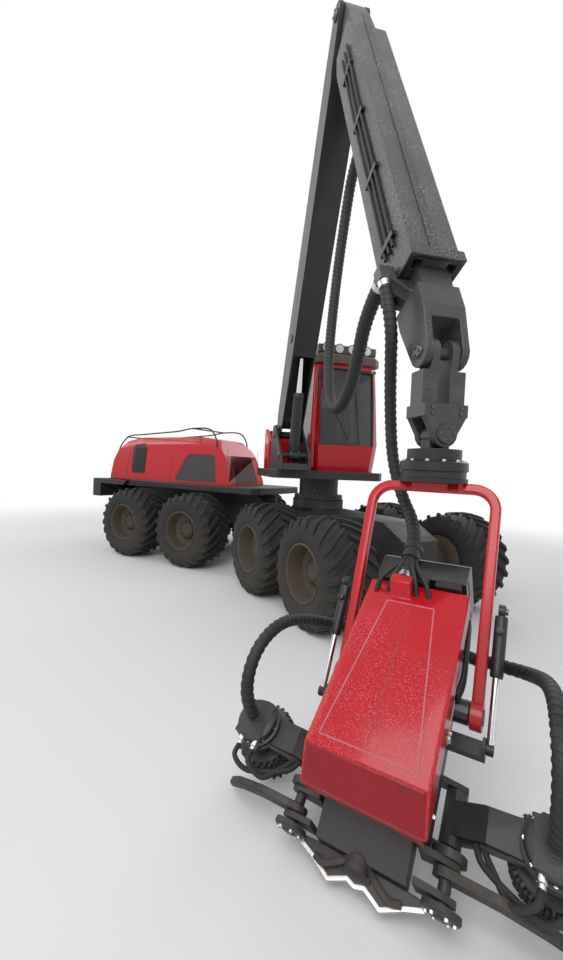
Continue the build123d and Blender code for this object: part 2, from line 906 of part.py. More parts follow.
lift_place = crane * Location((lift_base[0], 0, lift_base[1])) * Location((0, 0, 0), (0, -lift_angle, 0))
knuckle_foot = inner * Location((knuckle_base[0], 0, knuckle_base[1]))
knuckle_place = knuckle_foot * Location((0, 0, 0), (0, -knuckle_angle, 0))
head_pivot = hoop * Location((tilt_rake, 0, -tilt_height))
tilt_foot = head_pivot * Location((tilt_base[0], 0, tilt_base[1]))
tilt_place = tilt_foot * Location((0, 0, 0), (0, -tilt_angle, 0))

with BuildPart() as lift_barrel:
    barrel(80, 930, 45, 88, lift_eye_half, lift_pin_radius, 60)

with BuildPart() as lift_rod:
    rod(45, lift_length - 955, lift_length, 75, lift_eye_half, 40)

with BuildPart() as knuckle_barrel:
    barrel(72, 1350, 42, 65, knuckle_eye_half, knuckle_pin_radius, 175)

with BuildPart() as knuckle_rod:
    rod(42, knuckle_length - 1560, knuckle_length, 62, knuckle_eye_half, 34)

steer_barrels, steer_rods, steer_places = {}, {}, {}
for side_name, side in (("left", 1), ("right", -1)):
    base = (steer_front_pin[0], side * steer_front_pin[1])
    eye = turned((steer_rear_pin[0], side * steer_rear_pin[1]), articulation)
    steer_length, steer_angle = reach(base, eye)
    with BuildPart() as steer_barrel:
        barrel(52, steer_barrel_length, 30, 48, steer_eye_half, steer_pin_radius, 125)
    with BuildPart() as steer_rod:
        rod(30, steer_length - steer_rod_length, steer_length, 44, steer_eye_half, 24)
    steer_barrels[side_name] = steer_barrel
    steer_rods[side_name] = steer_rod
    flat = Location((base[0], base[1], joint_z), (0, 0, steer_angle))
    steer_places[side_name] = front * flat * Location((0, 0, 0), (90, 0, 0))

with BuildPart() as tilt_barrels:
    for side in (1, -1):
        with BuildPart(mode=Mode.PRIVATE) as one:
            barrel(32, 345, 18, 34, tilt_eye_half, tilt_pin_radius, 22)
        add(one.part.moved(Location((0, side * tilt_side, 0))))

with BuildPart() as tilt_rods:
    for side in (1, -1):
        with BuildPart(mode=Mode.PRIVATE) as one:
            rod(18, tilt_length - 385, tilt_length, 30, tilt_eye_half, 16)
        add(one.part.moved(Location((0, side * tilt_side, 0))))

# Inner boom: a welded box, open underneath for the lift cylinder, forked at the elbow
taper_end = inner_length - 1260
collar_start = inner_length - 605
collar_end = inner_length - 460
inner_top = [(250, 190), (1500, 215), (taper_end, 150), (collar_end, 150)]
inner_bottom = [(collar_end, -140), (collar_start, -190), (1500, -235), (250, -200)]
boom_boss_radius = 112
elbow_boss_radius = 120
elbow_fork_half = 122
elbow_fork_start = inner_length - 500
outer_root_half = elbow_fork_half - slide_gap + 2
lift_slot_end = 1300
knuckle_bracket_half = 92
with BuildPart() as inner_boom:
    side_view = [
        (0, 112),
        *inner_top,
        (inner_length, elbow_boss_radius),
        (inner_length, -elbow_boss_radius),
        *inner_bottom,
        (0, -112),
    ]
    slab(side_view, -inner_half_width, inner_half_width)
    stick((inner_length, -inner_half_width, 0), (inner_length, inner_half_width, 0), elbow_boss_radius, 16)
    stick((0, slide_gap - mast_inner_half, 0), (0, mast_inner_half - slide_gap, 0), boom_boss_radius, 16)
    hollow = [
        (-130, -400),
        (lift_slot_end, -400),
        (lift_slot_end, -235 + boom_wall),
        (1500, -235 + boom_wall),
        (collar_start - 25, -190 + boom_wall),
        (collar_start - 25, 150 - boom_wall),
        (taper_end, 150 - boom_wall),
        (1500, 215 - boom_wall),
        (250, 190 - boom_wall),
        (200, 130),
        (-130, 130),
    ]
    slab(hollow, boom_wall - inner_half_width, inner_half_width - boom_wall, mode=Mode.SUBTRACT)
    fork_end = inner_length + 240
    fork = [(elbow_fork_start, -300), (fork_end, -300), (fork_end, 300), (elbow_fork_start, 300)]
    slab(fork, -elbow_fork_half, elbow_fork_half, mode=Mode.SUBTRACT)
    slab(
        [
            (elbow_fork_start - 310, 100),
            (elbow_fork_start + 1, 60),
            (elbow_fork_start + 1, 300),
            (elbow_fork_start - 310, 300),
        ],
        -60,
        60,
        mode=Mode.SUBTRACT,
    )
    bar_y(0, 0, boom_pin_radius + pin_gap, -mast_inner_half, mast_inner_half, mode=Mode.SUBTRACT)
    bar_y(
        inner_length,
        0,
        boom_pin_radius + pin_gap,
        -inner_half_width,
        inner_half_width,
        mode=Mode.SUBTRACT,
    )
    for side in (1, -1):
        near, far = sorted((side * (lift_eye_half + slide_gap), side * (inner_half_width + 12)))
        stick((lift_eye[0], near, lift_eye[1]), (lift_eye[0], far, lift_eye[1]), 62, 16)
        near, far = sorted((side * (knuckle_eye_half + pad_gap), side * knuckle_bracket_half))
        x, z = knuckle_base
        bracket = [
            (x - 230, 190),
            (x + 210, 180),
            (x + 95, z + 20),
            (x + 50, z + 75),
            (x - 50, z + 75),
            (x - 95, z + 20),
        ]
        slab(bracket, near, far)
    bar_y(x, z, knuckle_pin_radius, -knuckle_bracket_half - 8, knuckle_bracket_half + 8)

# Outer boom: ear and root in the elbow's fork, then a hollow box for the extension
ear_turn = radians(knuckle_eye_angle + inner_elevation + outer_drop)
ear_x, ear_z = knuckle_eye_radius * cos(ear_turn), knuckle_eye_radius * sin(ear_turn)
ear_gap_half = knuckle_eye_half + 2
ear_half = 84
box_half = outer_depth / 2
box_start = 760
with BuildPart() as outer_boom:
    stick((0, -outer_root_half, 0), (0, outer_root_half, 0), 115, 16)
    root = [(0, -115), (250, -150), (box_start, -175), (box_start, 175), (250, 150), (0, 115)]
    slab(root, -outer_root_half, outer_root_half)
    ear = [
        (0, 115),
        (ear_x, ear_z + 78),
        (ear_x - 70, ear_z + 40),
        (ear_x - 70, ear_z - 40),
        (ear_x, ear_z - 78),
        (0, -115),
    ]
    slab(ear, -ear_half, ear_half)
    slab(
        [(-700, -300), (-215, -300), (-215, 300), (-700, 300)],
        -ear_gap_half,
        ear_gap_half,
        mode=Mode.SUBTRACT,
    )
    bar_y(0, 0, boom_pin_radius, -inner_half_width - 14, inner_half_width + 14)
    box = [
        (560, -150),
        (box_start, -box_half),
        (outer_length, -box_half),
        (outer_length, box_half),
        (box_start, box_half),
        (560, 150),
    ]
    slab(box, -outer_half_width, outer_half_width)
    collar = [
        (outer_length - 90, -box_half - 22),
        (outer_length, -box_half - 22),
        (outer_length, box_half + 22),
        (outer_length - 90, box_half + 22),
    ]
    slab(collar, -outer_half_width - 22, outer_half_width + 22)
    cavity = [
        (box_start + 60, boom_wall - box_half),
        (outer_length, boom_wall - box_half),
        (outer_length, box_half - boom_wall),
        (box_start + 60, box_half - boom_wall),
    ]
    slab(cavity, boom_wall - outer_half_width, outer_half_width - boom_wall, mode=Mode.SUBTRACT)
    mouth = 240
    for side in (1, -1):
        near, far = sorted((side * (extension_half_width + pad_gap), side * (outer_half_width - boom_wall)))
        pad = [
            (outer_length - mouth, -120),
            (outer_length, -120),
            (outer_length, 120),
            (outer_length - mouth, 120),
        ]
        slab(pad, near, far)
        near, far = sorted((side * (extension_half_depth + pad_gap), side * (box_half - boom_wall)))
        pad = [
            (outer_length - mouth, near),
            (outer_length, near),
            (outer_length, far),
            (outer_length - mouth, far),
        ]
        slab(pad, -90, 90)

# Extension: a box that slides in the outer boom and ends in the fork that carries the link
extension_tail = outer_length - 2000
nose_start = tip_length - 417
cheek_inner = 100
cheek_outer = 150
tip_pin_radius = 38
hose_arm_rear = outer_length - 100
hose_arm_front = outer_length + 20
hose_arm_inner = -outer_half_width - 32
hose_arm_side = outer_half_width + 150
hose_arm_half = 45
with BuildPart() as boom_extension:
    tube = [
        (extension_tail, -extension_half_depth),
        (nose_start, -extension_half_depth),
        (nose_start, extension_half_depth),
        (extension_tail, extension_half_depth),
    ]
    slab(tube, -extension_half_width, extension_half_width)
    bore = [
        (extension_tail, 16 - extension_half_depth),
        (nose_start - 60, 16 - extension_half_depth),
        (nose_start - 60, extension_half_depth - 16),
        (extension_tail, extension_half_depth - 16),
    ]
    slab(bore, 16 - extension_half_width, extension_half_width - 16, mode=Mode.SUBTRACT)
    nose = [
        (nose_start - 20, -extension_half_depth),
        (nose_start + 120, -extension_half_depth),
        (tip_length, -102),
        (tip_length, 102),
        (nose_start + 160, extension_half_depth + 10),
        (nose_start - 20, extension_half_depth + 10),
    ]
    slab(nose, -cheek_outer, cheek_outer)
    stick((tip_length, -cheek_outer, 0), (tip_length, cheek_outer, 0), 102, 16)
    arch = [
        (tip_length - 175, -200),
        (tip_length + 150, -200),
        (tip_length + 150, 200),
        (tip_length - 175, 200),
    ]
    slab(arch, -cheek_inner, cheek_inner, mode=Mode.SUBTRACT)
    arm_view = [
        (hose_arm_rear, -hose_arm_side),
        (hose_arm_front, -hose_arm_side),
        (hose_arm_front, 85 - hose_arm_side),
        (hose_arm_front + 110, 1 - extension_half_width),
        (hose_arm_front - 5, 1 - extension_half_width),
        (hose_arm_front - 5, hose_arm_inner),
        (hose_arm_rear, hose_arm_inner),
    ]
    plan(arm_view, -hose_arm_half, hose_arm_half)
    bar_y(tip_length, 0, tip_pin_radius, -cheek_outer - 10, cheek_outer + 10)

# Link: two arms on the tip pin, then two cheeks fore and aft on the cross pin
arm_inner = 42
arm_outer = cheek_inner - slide_gap + 1
cross_pin_radius = 36
link_cheek_inner = 60
link_cheek_outer = 112
with BuildPart() as upper_link:
    for side in (1, -1):
        near, far = sorted((side * arm_inner, side * arm_outer))
        stick((0, near, 0), (0, far, 0), 86, 16)
        slab([(-62, -150), (62, -150), (86, 0), (-86, 0)], near, far)
        near, far = sorted((side * arm_inner, side * cheek_outer))
        slab([(-70, -345), (70, -345), (70, -122), (-70, -122)], near, far)
        near, far = sorted((side * link_cheek_inner, side * link_cheek_outer))
        fork = [(-150, -340), (-150, -400), (-84, -link_drop), (84, -link_drop), (150, -400), (150, -340)]
        cross(fork, near, far)
        stick((near, 0, -link_drop), (far, 0, -link_drop), 84, 16)
    slab(
        [
            (-link_cheek_outer, -335),
            (-link_cheek_outer, -415),
            (link_cheek_outer, -415),
            (link_cheek_outer, -335),
        ],
        -cheek_outer,
        cheek_outer,
    )
    bar_y(0, 0, tip_pin_radius + pin_gap, -cheek_outer, cheek_outer, mode=Mode.SUBTRACT)
    bar_x(0, -link_drop, cross_pin_radius, -link_cheek_outer - 10, link_cheek_outer + 10)

# Rotator: its eye on the cross pin and its housing above the turning flange
housing_bottom = hoop_tube / 2 + flange_height + face_gap - hoop_drop
housing_top = -link_drop - 95
with BuildPart() as rotator:
    stick((5 - link_cheek_inner, 0, -link_drop), (link_cheek_inner - 5, 0, -link_drop), 78, 16)
    slab([(-55, housing_top), (55, housing_top), (55, -link_drop), (-55, -link_drop)], -70, 70)
    bar_z(0, 0, rotator_radius, housing_bottom, housing_top)
    bar_x(
        0,
        -link_drop,
        cross_pin_radius + pin_gap,
        -link_cheek_inner,
        link_cheek_inner,
        mode=Mode.SUBTRACT,
    )

with BuildPart() as rotator_flange:
    bar_z(0, 0, flange_radius, hoop_tube / 2, hoop_tube / 2 + flange_height)

# Tilt frame: a raked hoop of rectangular tube with the head's pivot bosses at its feet
leg_lean = degrees(atan2(tilt_rake, tilt_height))
hoop_outer = hoop_half + hoop_tube / 2
hoop_inner = hoop_half - hoop_tube / 2
pivot_boss_radius = 75
trunnion_radius = 40
with BuildPart() as tilt_frame:
    hoop_plane = Plane(
        origin=(0, 0, 0),
        x_dir=(0, 1, 0),
        z_dir=(cos(radians(leg_lean)), 0, sin(radians(leg_lean))),
    )
    with BuildSketch(hoop_plane) as hoop_outline:
        with BuildLine():
            Polyline(
                (-hoop_outer, -leg_length),
                (-hoop_outer, hoop_tube / 2 - 90),
                (90 - hoop_outer, hoop_tube / 2),
                (hoop_outer - 90, hoop_tube / 2),
                (hoop_outer, hoop_tube / 2 - 90),
                (hoop_outer, -leg_length),
                (hoop_inner, -leg_length),
                (hoop_inner, -hoop_tube / 2 - 60),
                (hoop_inner - 60, -hoop_tube / 2),
                (60 - hoop_inner, -hoop_tube / 2),
                (-hoop_inner, -hoop_tube / 2 - 60),
                (-hoop_inner, -leg_length),
                close=True,
            )
        make_face()
    extrude(hoop_outline.sketch, amount=hoop_tube / 2, both=True)
    for side in (1, -1):
        near, far = sorted((side * hoop_inner, side * hoop_outer))
        stick((tilt_rake, near, -tilt_height), (tilt_rake, far, -tilt_height), pivot_boss_radius, 16)
        bar_y(tilt_rake, -tilt_height, trunnion_radius + pin_gap, near, far, mode=Mode.SUBTRACT)
        pin_x, pin_z = tilt_rake + tilt_base[0], tilt_base[1] - tilt_height
        near, far = sorted((side * hoop_outer, side * (tilt_side + tilt_eye_half + 6)))
        bar_y(pin_x, pin_z, tilt_pin_radius, near, far)
    plan([(-90, -110), (90, -110), (90, 110), (-90, 110)], -hoop_tube / 2, hoop_tube / 2)
    trim = hoop_outer + 20
    plan([(-90, -trim), (90, -trim), (90, trim), (-90, trim)], hoop_tube / 2, hoop_tube, mode=Mode.SUBTRACT)

# Head, its side plates, cross boxes, saw box and pins
plate_inner = head_plate_half - head_plate
saw_axis_y, saw_axis_z = saw_pivot
knife_y, knife_z = knife_pin
hinge_y_feed, hinge_z_feed = feed_hinge
knife_lanes = {1: knife_lug_rear + slide_gap, -1: knife_lug_rear + 2 * slide_gap + knife_thickness}
knife_lug_front = knife_lug_rear + 3 * slide_gap + 2 * knife_thickness
bracket_low = -85
bracket_high = -30
with BuildPart() as head_frame:
    side_plate = [
        (head_rear, head_bottom),
        (head_front - 60, head_bottom),
        (head_front, head_bottom + 55),
        (head_front, 110),
        (head_front - 120, head_top),
        (head_rear, head_top),
    ]
    for side in (1, -1):
        near, far = sorted((side * plate_inner, side * head_plate_half))
        slab(side_plate, near, far)
    slab(
        [(480, head_bottom), (580, head_bottom), (head_front, -40), (head_front, 90), (480, 90)],
        -plate_inner,
        plate_inner,
    )
    slab([(-120, -30), (200, -30), (200, 150), (-120, 150)], -plate_inner, plate_inner)
    slab(
        [
            (head_rear, head_bottom),
            (head_rear + 90, head_bottom),
            (head_rear + 90, head_top),
            (head_rear, head_top),
        ],
        -plate_inner,
        plate_inner,
    )
    slab(
        [
            (saw_rear, -80),
            (saw_slot[0], -80),
            (saw_slot[0], 340),
            (saw_rear + 50, 340),
            (saw_rear, 290),
        ],
        -head_plate_half,
        head_plate_half,
    )
    slab(
        [(saw_slot[1], -80), (head_rear, -80), (head_rear, 340), (saw_slot[1], 340)],
        -head_plate_half,
        head_plate_half,
    )
    slab(
        [(saw_slot[0], 300), (saw_slot[1], 300), (saw_slot[1], 340), (saw_slot[0], 340)],
        -head_plate_half,
        head_plate_half,
    )
    bar_x(saw_axis_y, saw_axis_z, saw_pin_radius, *saw_slot)
    for side in (1, -1):
        near, far = sorted((side * plate_inner, side * (hoop_outer + 4)))
        bar_y(0, 0, trunnion_radius, near, far)
        stick((0, side * head_plate_half, 0), (0, side * (hoop_inner - slide_gap), 0), 62, 12)
        for low, high in ((knife_lug_rear - 26, knife_lug_rear), (knife_lug_front, knife_lug_front + 26)):
            lug = [
                (side * plate_inner, knife_z - 70),
                (side * knife_y, knife_z - 52),
                (side * (knife_y + 50), knife_z - 20),
                (side * (knife_y + 50), knife_z + 20),
                (side * knife_y, knife_z + 52),
                (side * plate_inner, knife_z + 80),
            ]
            cross(lug, low, high)
        bar_x(side * knife_y, knife_z, knife_pin_radius, knife_lug_rear - 26, knife_lug_front + 34)
        for low, high in (
            (feed_start - slide_gap - 26, feed_start - slide_gap),
            (feed_end + slide_gap, feed_end + slide_gap + 26),
        ):
            lug = [
                (side * plate_inner, -60),
                (side * plate_inner, hinge_z_feed - 40),
                (side * hinge_y_feed, hinge_z_feed - 52),
                (side * (hinge_y_feed + 48), hinge_z_feed - 20),
                (side * (hinge_y_feed + 48), hinge_z_feed + 20),
                (side * head_plate_half, bracket_low - 4),
                (side * head_plate_half, -60),
            ]
            cross(lug, low, high)
        bar_x(
            side * hinge_y_feed,
            hinge_z_feed,
            feed_pin_radius,
            feed_start - slide_gap - 26,
            feed_end + slide_gap + 26,
        )
        near, far = sorted((side * head_plate_half, side * (tilt_side - tilt_eye_half - 2)))
        slab([(100, bracket_low), (180, bracket_low), (180, bracket_high), (100, bracket_high)], near, far)
        near, far = sorted(
            (side * (tilt_side - tilt_eye_half - 16), side * (tilt_side - tilt_eye_half - 2)),
        )
        slab(
            [(100, bracket_high), (180, bracket_high), (180, 20), (160, 38), (120, 38), (100, 20)],
            near,
            far,
        )
    carrier = [
        (knife_lug_rear - 26, -85),
        (knife_lug_front + 40, -85),
        (knife_lug_front + 40, 10),
        (knife_lug_rear - 26, 60),
    ]
    slab(carrier, -plate_inner + 26, plate_inner - 26)

inlet_rear = -470
inlet_y = -70
inlet_z = 408
panel_height = 376
panel_rear = (-330, 130)
panel_front = (490, 228)
panel_slope = 0.27
with BuildPart() as head_cover:
    cover_side = [
        (-500, head_top),
        (-500, 335),
        (panel_rear[0], panel_height),
        (panel_front[0], panel_height),
        (536, 363),
        (667, 229),
        (655, head_top),
    ]
    slab(cover_side, -290, 290)
    for side in (1, -1):
        edge = Vector(panel_front[0] - panel_rear[0], side * (panel_front[1] - panel_rear[1]), 0).normalized()
        down = Vector(-edge.Y, edge.X, 0) * side - Vector(0, 0, panel_slope)
        corner = (panel_rear[0], side * panel_rear[1], panel_height)
        facet = Plane(origin=corner, x_dir=edge, z_dir=edge.cross(down) * side)
        split(bisect_by=facet, keep=Keep.BOTTOM)
    hollow = [(-480, head_top - 1), (-480, 315), (-460, 325), (505, 325), (625, head_top - 1)]
    slab(hollow, -230, 230, mode=Mode.SUBTRACT)
    inlet = [
        (inlet_rear, 329),
        (inlet_rear, inlet_z + 48),
        (inlet_rear + 60, inlet_z + 48),
        (inlet_rear + 130, 329),
    ]
    slab(inlet, inlet_y - 60, inlet_y + 60)

edge_low = -70
edge_high = -46
with BuildPart() as front_knife:
    blade = [
        (knife_lug_front + 42, -200),
        (800, -285),
        (832, -285),
        (858, -215),
        (905, -120),
        (868, -40),
        (880, 0),
        (868, 40),
        (905, 120),
        (858, 215),
        (832, 285),
        (800, 285),
        (knife_lug_front + 42, 200),
    ]
    plan(blade, edge_low, edge_high)
    slab(
        [
            (knife_lug_front + 40.0, -85),
            (knife_lug_front + 100, -85),
            (knife_lug_front + 100, -46),
            (knife_lug_front + 40.0, 0),
        ],
        -60,
        60,
    )

with BuildPart() as saw_bar:
    middle = (saw_slot[0] + saw_slot[1]) / 2
    y, z = saw_pivot
    bar = [
        (y - 25, z - 30),
        (y + 380, z - 34),
        (y + 420, z - 20),
        (y + 430, z),
        (y + 420, z + 20),
        (y + 380, z + 34),
        (y - 25, z + 30),
    ]
    cross(bar, middle - saw_bar_thickness / 2, middle + saw_bar_thickness / 2)
    bar_x(y, z, saw_pin_radius + pin_gap, middle - 20, middle + 20, mode=Mode.SUBTRACT)

knives, feed_arms, feed_rollers = {}, {}, {}
for side_name, side in (("left", 1), ("right", -1)):
    low = knife_lanes[side]
    high = low + knife_thickness
    with BuildPart() as knife:
        blade = [
            (0, knife_boss_radius),
            (200, 42),
            (380, -28),
            (478, -130),
            (492, -205),
            (370, -115),
            (200, -52),
            (0, -knife_boss_radius),
        ]
        cross([(side * (knife_y + a), knife_z + b) for a, b in blade], low, high)
        stick((low, side * knife_y, knife_z), (high, side * knife_y, knife_z), knife_boss_radius, 12)
        bar_x(side * knife_y, knife_z, knife_pin_radius + pin_gap, low, high, mode=Mode.SUBTRACT)
    with BuildPart() as feed_arm:
        hinge_line = (side * hinge_y_feed, hinge_z_feed)
        stick((feed_start, *hinge_line), (feed_end, *hinge_line), feed_barrel_radius, 12)
        arm = [
            (hinge_y_feed, hinge_z_feed + 50),
            (hinge_y_feed + 150, roller_top + 100),
            (roller_y + 80, roller_top + 100),
            (roller_y + 130, roller_top + 60),
            (roller_y + 130, roller_top + 20),
            (roller_y - roller_radius - 10, roller_top + 20),
            (roller_y - roller_radius - 60, roller_top - 30),
            (hinge_y_feed, hinge_z_feed - 50),
        ]
        cross([(side * a, b) for a, b in arm], roller_x - 70, roller_x + 70)
        stick(
            (roller_x, side * roller_y, roller_top + face_gap),
            (roller_x, side * roller_y, roller_top + 60),
            110,
            12,
        )
        near, far = sorted((side * (roller_y - 80), side * (roller_y + 90)))
        motor_view = [
            (roller_x - motor_half, near),
            (roller_x + motor_half, near),
            (roller_x + motor_half, far),
            (roller_x - motor_half, far),
        ]
        plan(motor_view, roller_top + 60, motor_top)
        bar_x(
            side * hinge_y_feed,
            hinge_z_feed,
            feed_pin_radius + pin_gap,
            feed_start,
            feed_end,
            mode=Mode.SUBTRACT,
        )
    with BuildPart() as feed_roller:
        stick(
            (roller_x, side * roller_y, roller_top - roller_height),
            (roller_x, side * roller_y, roller_top),
            roller_radius,
            18,
        )
    knives[side_name] = knife
    feed_arms[side_name] = feed_arm
    feed_rollers[side_name] = feed_roller

# Hoses that hang free, drawn in the frame of the body that carries their first end
boom_hose_radius = 55
head_hose_radius = 42
roller_hose_radius = 36


def hose(name, points, radius):
    """A six-sided section carried along straight runs and the arcs that join them."""
    corners = [Vector(*point) for point in points]
    radii = []
    for before, corner, after in zip(corners, corners[1:], corners[2:]):
        run, following = corner - before, after - corner
        half_turn = radians(run.get_angle(following)) / 2
        radii.append(0.45 * min(run.length, following.length) / tan(half_turn))
    with BuildPart() as tube:
        with BuildLine() as route:
            FilletPolyline(*points, radius=radii)
        with BuildSketch(Plane(origin=route.line @ 0, z_dir=route.line % 0)) as section:
            RegularPolygon(radius, 6)
        sweep()
    length = sum(edge.length for edge in route.edges())
    share = tube.part.volume / (section.sketch.area * length)
    print(name, "radii", [round(r) for r in radii], "length", round(length), "share", round(share, 4))
    return tube


def in_frame(frame, place, point):
    """A point given in one frame, read in another."""
    return tuple((frame.inverse() * place * Location(point)).position)


leave = 315
boom_hose = hose(
    "boom_hose",
    [
        in_frame(crane, outer, (1700, 0, -box_half)),
        in_frame(crane, outer, (1700, 0, -box_half - leave)),
        (2290, -12, 2150),
        (2200, -30, 1720),
        (2150, -50, 1260),
        (2150, -75, 820),
        (2240, -100, 420),
        (2480, -130, 130),
        (2800, -160, 60),
        (3110, -190, 170),
        (3350, -225, 360),
        in_frame(crane, outer, (hose_arm_front - 60, -271, -hose_arm_half - 280)),
        in_frame(crane, outer, (hose_arm_front - 60, -271, -hose_arm_half)),
    ],
    boom_hose_radius,
)
head_hose = hose(
    "head_hose",
    [
        (hose_arm_front, -287, 0),
        (hose_arm_front + 330, -287, 0),
        in_frame(outer, hoop, (-60, -335, 790)),
        in_frame(outer, hoop, (-190, -360, 480)),
        in_frame(outer, hoop, (-225, -340, 170)),
        in_frame(outer, hoop, (-205, -250, -90)),
        in_frame(outer, hoop, (-90, -130, -250)),
        in_frame(outer, head, (inlet_rear - 270, inlet_y, inlet_z)),
        in_frame(outer, head, (inlet_rear, inlet_y, inlet_z)),
    ],
    head_hose_radius,
)
roller_hoses = {}
for side_name, side in (("left", 1), ("right", -1)):
    roller_hoses[side_name] = hose(
        "roller_hose_" + side_name,
        [
            (-330, side * head_plate_half, -20),
            (-330, side * 460, -20),
            (-265, side * 620, 75),
            (-140, side * 680, 250),
            (10, side * 705, 385),
            (195, side * 720, 440),
            (350, side * roller_y, 380),
            (roller_x, side * roller_y, motor_top + 160),
            (roller_x, side * roller_y, motor_top),
        ],
        roller_hose_radius,
    )

bodies = {
    "front_frame": (front_frame, front),
    "front_bogies": (front_bogies, front),
    "rear_frame": (rear_frame, rear),
    "rear_bogies": (rear_bogies, rear),
    "deck_tank": (deck_tank, rear),
    "engine_block": (engine_block, rear),
    "hood_shell": (hood_shell, rear),
    "hood_grilles": (hood_grilles, rear),
    "hood_rail": (hood_rail, rear),
    "turntable": (turntable, upper),
    "cab_shell": (cab_shell, upper),
    "cab_roof": (cab_roof, upper),
    "cab_glass": (cab_glass, upper),
    "cab_door": (cab_door, upper),
    "door_glass": (door_glass, upper),
    "cab_seat": (cab_seat, upper),
    "crane_guard": (crane_guard, upper),
    "inner_boom": (inner_boom, inner),
    "lift_barrel": (lift_barrel, lift_place),
    "lift_rod": (lift_rod, lift_place),
    "outer_boom": (outer_boom, outer),
    "boom_extension": (boom_extension, outer),
    "knuckle_barrel": (knuckle_barrel, knuckle_place),
    "knuckle_rod": (knuckle_rod, knuckle_place),
    "upper_link": (upper_link, tip),
    "rotator": (rotator, tip),
    "rotator_flange": (rotator_flange, hoop),
    "tilt_frame": (tilt_frame, hoop),
    "tilt_barrels": (tilt_barrels, tilt_place),
    "tilt_rods": (tilt_rods, tilt_place),
    "head_frame": (head_frame, head),
    "head_cover": (head_cover, head),
    "front_knife": (front_knife, head),
    "saw_bar": (saw_bar, head),
    "boom_hose": (boom_hose, crane),
    "head_hose": (head_hose, outer),
}
for side_name in ("left", "right"):
    bodies["steer_barrel_" + side_name] = (steer_barrels[side_name], steer_places[side_name])
    bodies["steer_rod_" + side_name] = (steer_rods[side_name], steer_places[side_name])
    bodies["knife_" + side_name] = (knives[side_name], head)
    bodies["feed_arm_" + side_name] = (feed_arms[side_name], head)
    bodies["feed_roller_" + side_name] = (feed_rollers[side_name], head)
    bodies["roller_hose_" + side_name] = (roller_hoses[side_name], head)

os.makedirs("parts", exist_ok=True)
low, high = Vector(1e9, 1e9, 1e9), Vector(-1e9, -1e9, -1e9)


def write(node, part, place):
    """Set a part in the parked pose, label it, write its file and widen the machine's box."""
    global low, high
    placed = part.moved(place)
    placed.label = node
    export_step(placed, "parts/" + node + ".step")
    box = placed.bounding_box()
    low = Vector(min(low.X, box.min.X), min(low.Y, box.min.Y), min(low.Z, box.min.Z))
    high = Vector(max(high.X, box.max.X), max(high.Y, box.max.Y), max(high.Z, box.max.Z))


for node, (built, place) in bodies.items():
    write(node, built.part, place)

for node, (frame, x, side) in wheel_places.items():
    place = frame * Location((x, side * wheel_y, axle_z))
    pieces = [piece.part if side == 1 else mirror(piece.part, about=Plane.XZ) for piece in (tyre, rim)]
    write(node, Compound(children=[piece.moved(place) for piece in pieces]), Location())

print("axle height", round(axle_z, 2))
print("box", [round(v) for v in low], [round(v) for v in high])
print("middle off by", round((low.X + high.X) / 2), round((low.Y + high.Y) / 2))
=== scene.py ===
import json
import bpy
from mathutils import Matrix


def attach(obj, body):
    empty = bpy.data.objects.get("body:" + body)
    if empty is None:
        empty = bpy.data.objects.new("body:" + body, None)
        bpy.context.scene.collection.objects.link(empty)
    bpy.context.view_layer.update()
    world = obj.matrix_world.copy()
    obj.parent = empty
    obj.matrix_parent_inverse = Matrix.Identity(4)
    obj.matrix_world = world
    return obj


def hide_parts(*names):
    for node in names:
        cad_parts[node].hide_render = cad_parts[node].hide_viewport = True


bl_info = {
    "name": "Forestry harvester dressing",
    "version": (1, 0, 0),
    "blender": (4, 5, 0),
    "location": "View3D > Sidebar > Harvester",
    "description": "Dresses the packed harvester with its detailed pieces, finishes, hoses and stage",
    "category": "Add Mesh",
}

from math import atan2, cos, hypot, pi, radians, sin

import bmesh
import bpy
import numpy as np
from mathutils import Matrix

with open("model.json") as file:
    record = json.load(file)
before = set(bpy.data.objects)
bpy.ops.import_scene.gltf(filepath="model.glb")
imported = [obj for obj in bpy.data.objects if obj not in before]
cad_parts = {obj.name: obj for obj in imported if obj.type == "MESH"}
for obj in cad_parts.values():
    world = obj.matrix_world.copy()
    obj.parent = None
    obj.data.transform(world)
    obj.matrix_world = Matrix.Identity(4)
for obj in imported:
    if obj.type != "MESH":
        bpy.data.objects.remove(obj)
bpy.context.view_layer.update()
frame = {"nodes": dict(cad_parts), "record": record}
NODES = frame["nodes"]
BODY_OF = {node: body for body, nodes in frame["record"]["behaviour"]["bodies"].items() for node in nodes}


# Places: the same frames as the solids, in metres, as 4x4 matrices
def shift(x, y, z):
    """A move."""
    m = np.eye(4)
    m[:3, 3] = (x, y, z)
    return m


def turn_y(degrees):
    """A turn about y."""
    a = radians(degrees)
    m = np.eye(4)
    m[0, 0] = m[2, 2] = cos(a)
    m[0, 2] = sin(a)
    m[2, 0] = -sin(a)
    return m


def turn_z(degrees):
    """A turn about z."""
    a = radians(degrees)
    m = np.eye(4)
    m[0, 0] = m[1, 1] = cos(a)
    m[0, 1] = -sin(a)
    m[1, 0] = sin(a)
    return m


